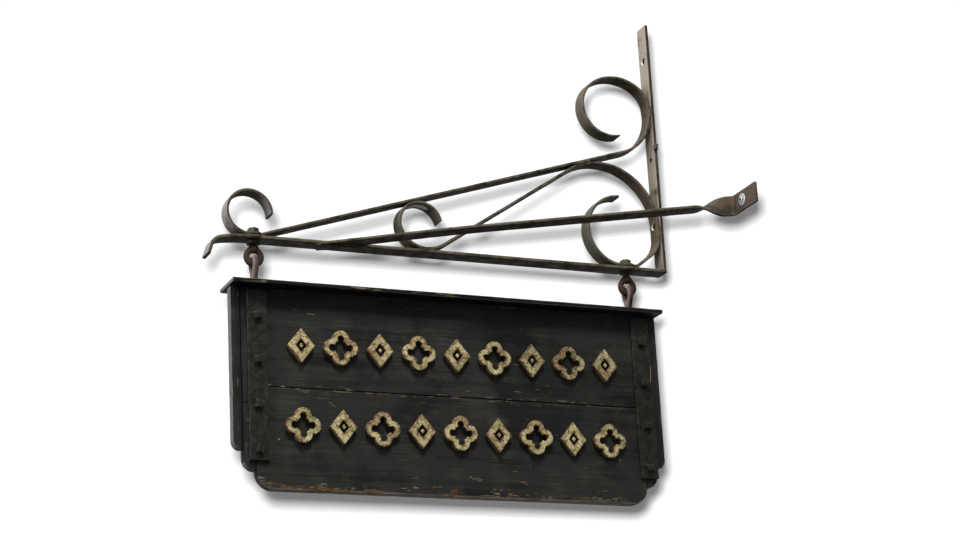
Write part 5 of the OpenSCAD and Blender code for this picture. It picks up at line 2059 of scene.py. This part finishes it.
@dataclass
class Studio:
    """The camera, the soft lamps, and the pale floor and backdrop.

    The key and side lamps light all but the backdrop, which has a lamp of its own, the wash,
    that stands wash_shift from the camera.
    """

    camera_at: Triple = (-1.8875, -3.4481, -1.4735)
    heading_deg: float = -24.119
    tilt_deg: float = 17.803
    roll_deg: float = -3.112
    lens: float = 89.504
    centre: Triple = (-0.40, -0.08, -0.24)
    backdrop_gap: float = 1.5
    floor_z: float = -2.6
    reach: float = 4.5
    wall_reach: float = 2.2
    shade_share: float = 0.5
    dim_share: float = 0.12
    glow: float = 0.12
    sky_tint: Triple = (0.97, 0.985, 1)
    sky_level: float = 0.24
    key: Lamp = Lamp("key", (-0.25, -1.0, 1.35), 3.4, 1.1, 0.9)
    side: Lamp = Lamp("side", (-0.93, -0.12, 0.30), 3.0, 0.72, 1.4)
    wash_shift: Triple = (-0.029, 0.070, 0)
    wash_level: float = 3.7
    wash_size: float = 0.075

    def view(self) -> Matrix:
        """The camera's place: it looks along +Y, tilts up, rolls, and turns to its heading."""
        return (Matrix.Translation(self.camera_at)
                @ Matrix.Rotation(radians(self.heading_deg), 4, "Z")
                @ Matrix.Rotation(radians(90 + self.tilt_deg), 4, "X")
                @ Matrix.Rotation(radians(self.roll_deg), 4, "Z"))

    def place_camera(self) -> None:
        """Makes the camera."""
        data = bpy.data.cameras.new("camera")
        data.lens, data.sensor_width = self.lens, 36
        camera = placed("camera", data)
        camera.matrix_world = self.view()
        bpy.context.scene.camera = camera

    def sheet(self, name: str, corners: Sequence[Floats], share: float,
              glow: float) -> bpy.types.Object:
        """Adds a flat sheet of the stage with a pale material that is clear from behind.

        Args:
            name: the sheet's name.
            corners: its four corners, in order.
            share: as in pale.
            glow: as in pale.

        Returns:
            The sheet.
        """
        mesh = bpy.data.meshes.new(name)
        mesh.from_pydata([tuple(c) for c in corners], [], [(0, 1, 2, 3)])
        mesh.materials.append(self.pale(name, share, glow))
        sheet = placed(name, mesh)
        return sheet

    def showing(self, tree: Tree) -> Socket:
        """1 for the rays that show the stage: the camera's own, and those in gloss and glass.

        Args:
            tree: the node tree that gets the nodes.

        Returns:
            The value, as a link.
        """
        path = tree.node("LightPath", {})
        seen = path.outputs["Is Camera Ray"]
        for name in ("Is Glossy Ray", "Is Transmission Ray"):
            seen = tree.worked("MAXIMUM", seen, path.outputs[name])
        return seen

    def pale(self, name: str, share: float, glow: float) -> Material:
        """A pale material, seen from its front only, and dim in the light that it gives back.

        Args:
            name: the material's name.
            share: share of the light that it shows, which is what makes shadows on it.
            glow: light of its own that it shows as well.

        Returns:
            The material.
        """
        material = bpy.data.materials.new(name)
        tree = Tree(material)
        tree.tree.nodes.clear()
        matt = tree.node("BsdfDiffuse", {"Color": (share,) * 3})
        own = tree.node("Emission", {"Strength": glow})
        both = tree.node("AddShader", {0: matt.outputs[0], 1: own.outputs[0]})
        dim = tree.node("BsdfDiffuse", {"Color": (self.dim_share,) * 3})
        seen = self.showing(tree)
        shown = tree.node("MixShader", {0: seen, 1: dim.outputs[0], 2: both.outputs[0]})
        behind = tree.node("NewGeometry", {})
        clear = tree.node("BsdfTransparent", {})
        sides = tree.node("MixShader", {0: behind.outputs["Backfacing"], 1: shown.outputs[0],
                                        2: clear.outputs[0]})
        tree.node("OutputMaterial", {"Surface": sides.outputs[0]})
        return material

    def light_only(self, lamp: bpy.types.Object, sheet: bpy.types.Object, state: str) -> None:
        """Lets a lamp light only a sheet, or everything but it.

        Args:
            lamp: the lamp.
            sheet: the sheet.
            state: INCLUDE or EXCLUDE.
        """
        group = bpy.data.collections.new(f"{lamp.name} {state.lower()}")
        group.objects.link(sheet)
        for entry in group.collection_objects:
            entry.light_linking.link_state = state
        lamp.light_linking.receiver_collection = group

    def sky(self) -> None:
        """Makes a sky that shows white, and lights the object softly from all around."""
        world = bpy.data.worlds.new("sky")
        bpy.context.scene.world = world
        tree = Tree(world)
        tree.tree.nodes.clear()
        white = tree.node("Background", {"Color": (1, 1, 1)})
        soft = tree.node("Background", {"Color": self.sky_tint, "Strength": self.sky_level})
        seen = self.showing(tree)
        shown = tree.node("MixShader", {0: seen, 1: soft.outputs[0], 2: white.outputs[0]})
        tree.node("OutputWorld", {"Surface": shown.outputs[0]})

    def build(self) -> None:
        """Sets the whole stage and its lights."""
        self.place_camera()
        bpy.context.scene.view_settings.view_transform = "Standard"
        self.sky()
        r, z, w = self.reach, self.floor_z, self.wall_reach
        view, centre = self.view(), Vector(self.centre)
        depth = -self.backdrop_gap - (Vector(self.camera_at) - centre).length
        backdrop = self.sheet("backdrop", [view @ Vector((x, y, depth))
                                           for x, y in ((-w, -w), (w, -w), (w, w), (-w, w))],
                              self.shade_share, self.glow)
        self.sheet("floor", [(-r, -2 * r, z), (r, -2 * r, z), (r, r, z), (-r, r, z)], 0, 1)
        way = view @ Vector(self.wash_shift) - centre
        wash = Lamp("wash", way, way.length, self.wash_level, self.wash_size)
        for lamp, state in ((self.key, "EXCLUDE"), (self.side, "EXCLUDE"), (wash, "INCLUDE")):
            self.light_only(lamp.hung(centre), backdrop, state)


def main() -> None:
    logging.basicConfig(level=logging.INFO, format="%(name)s: %(message)s")
    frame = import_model()
    finishes = Finishes.made()
    for kind in (Bracket, Board, Ironwork, Ornament, Marks):
        kind(frame, finishes).build()
    Studio().build()


if __name__ == "__main__":
    main()
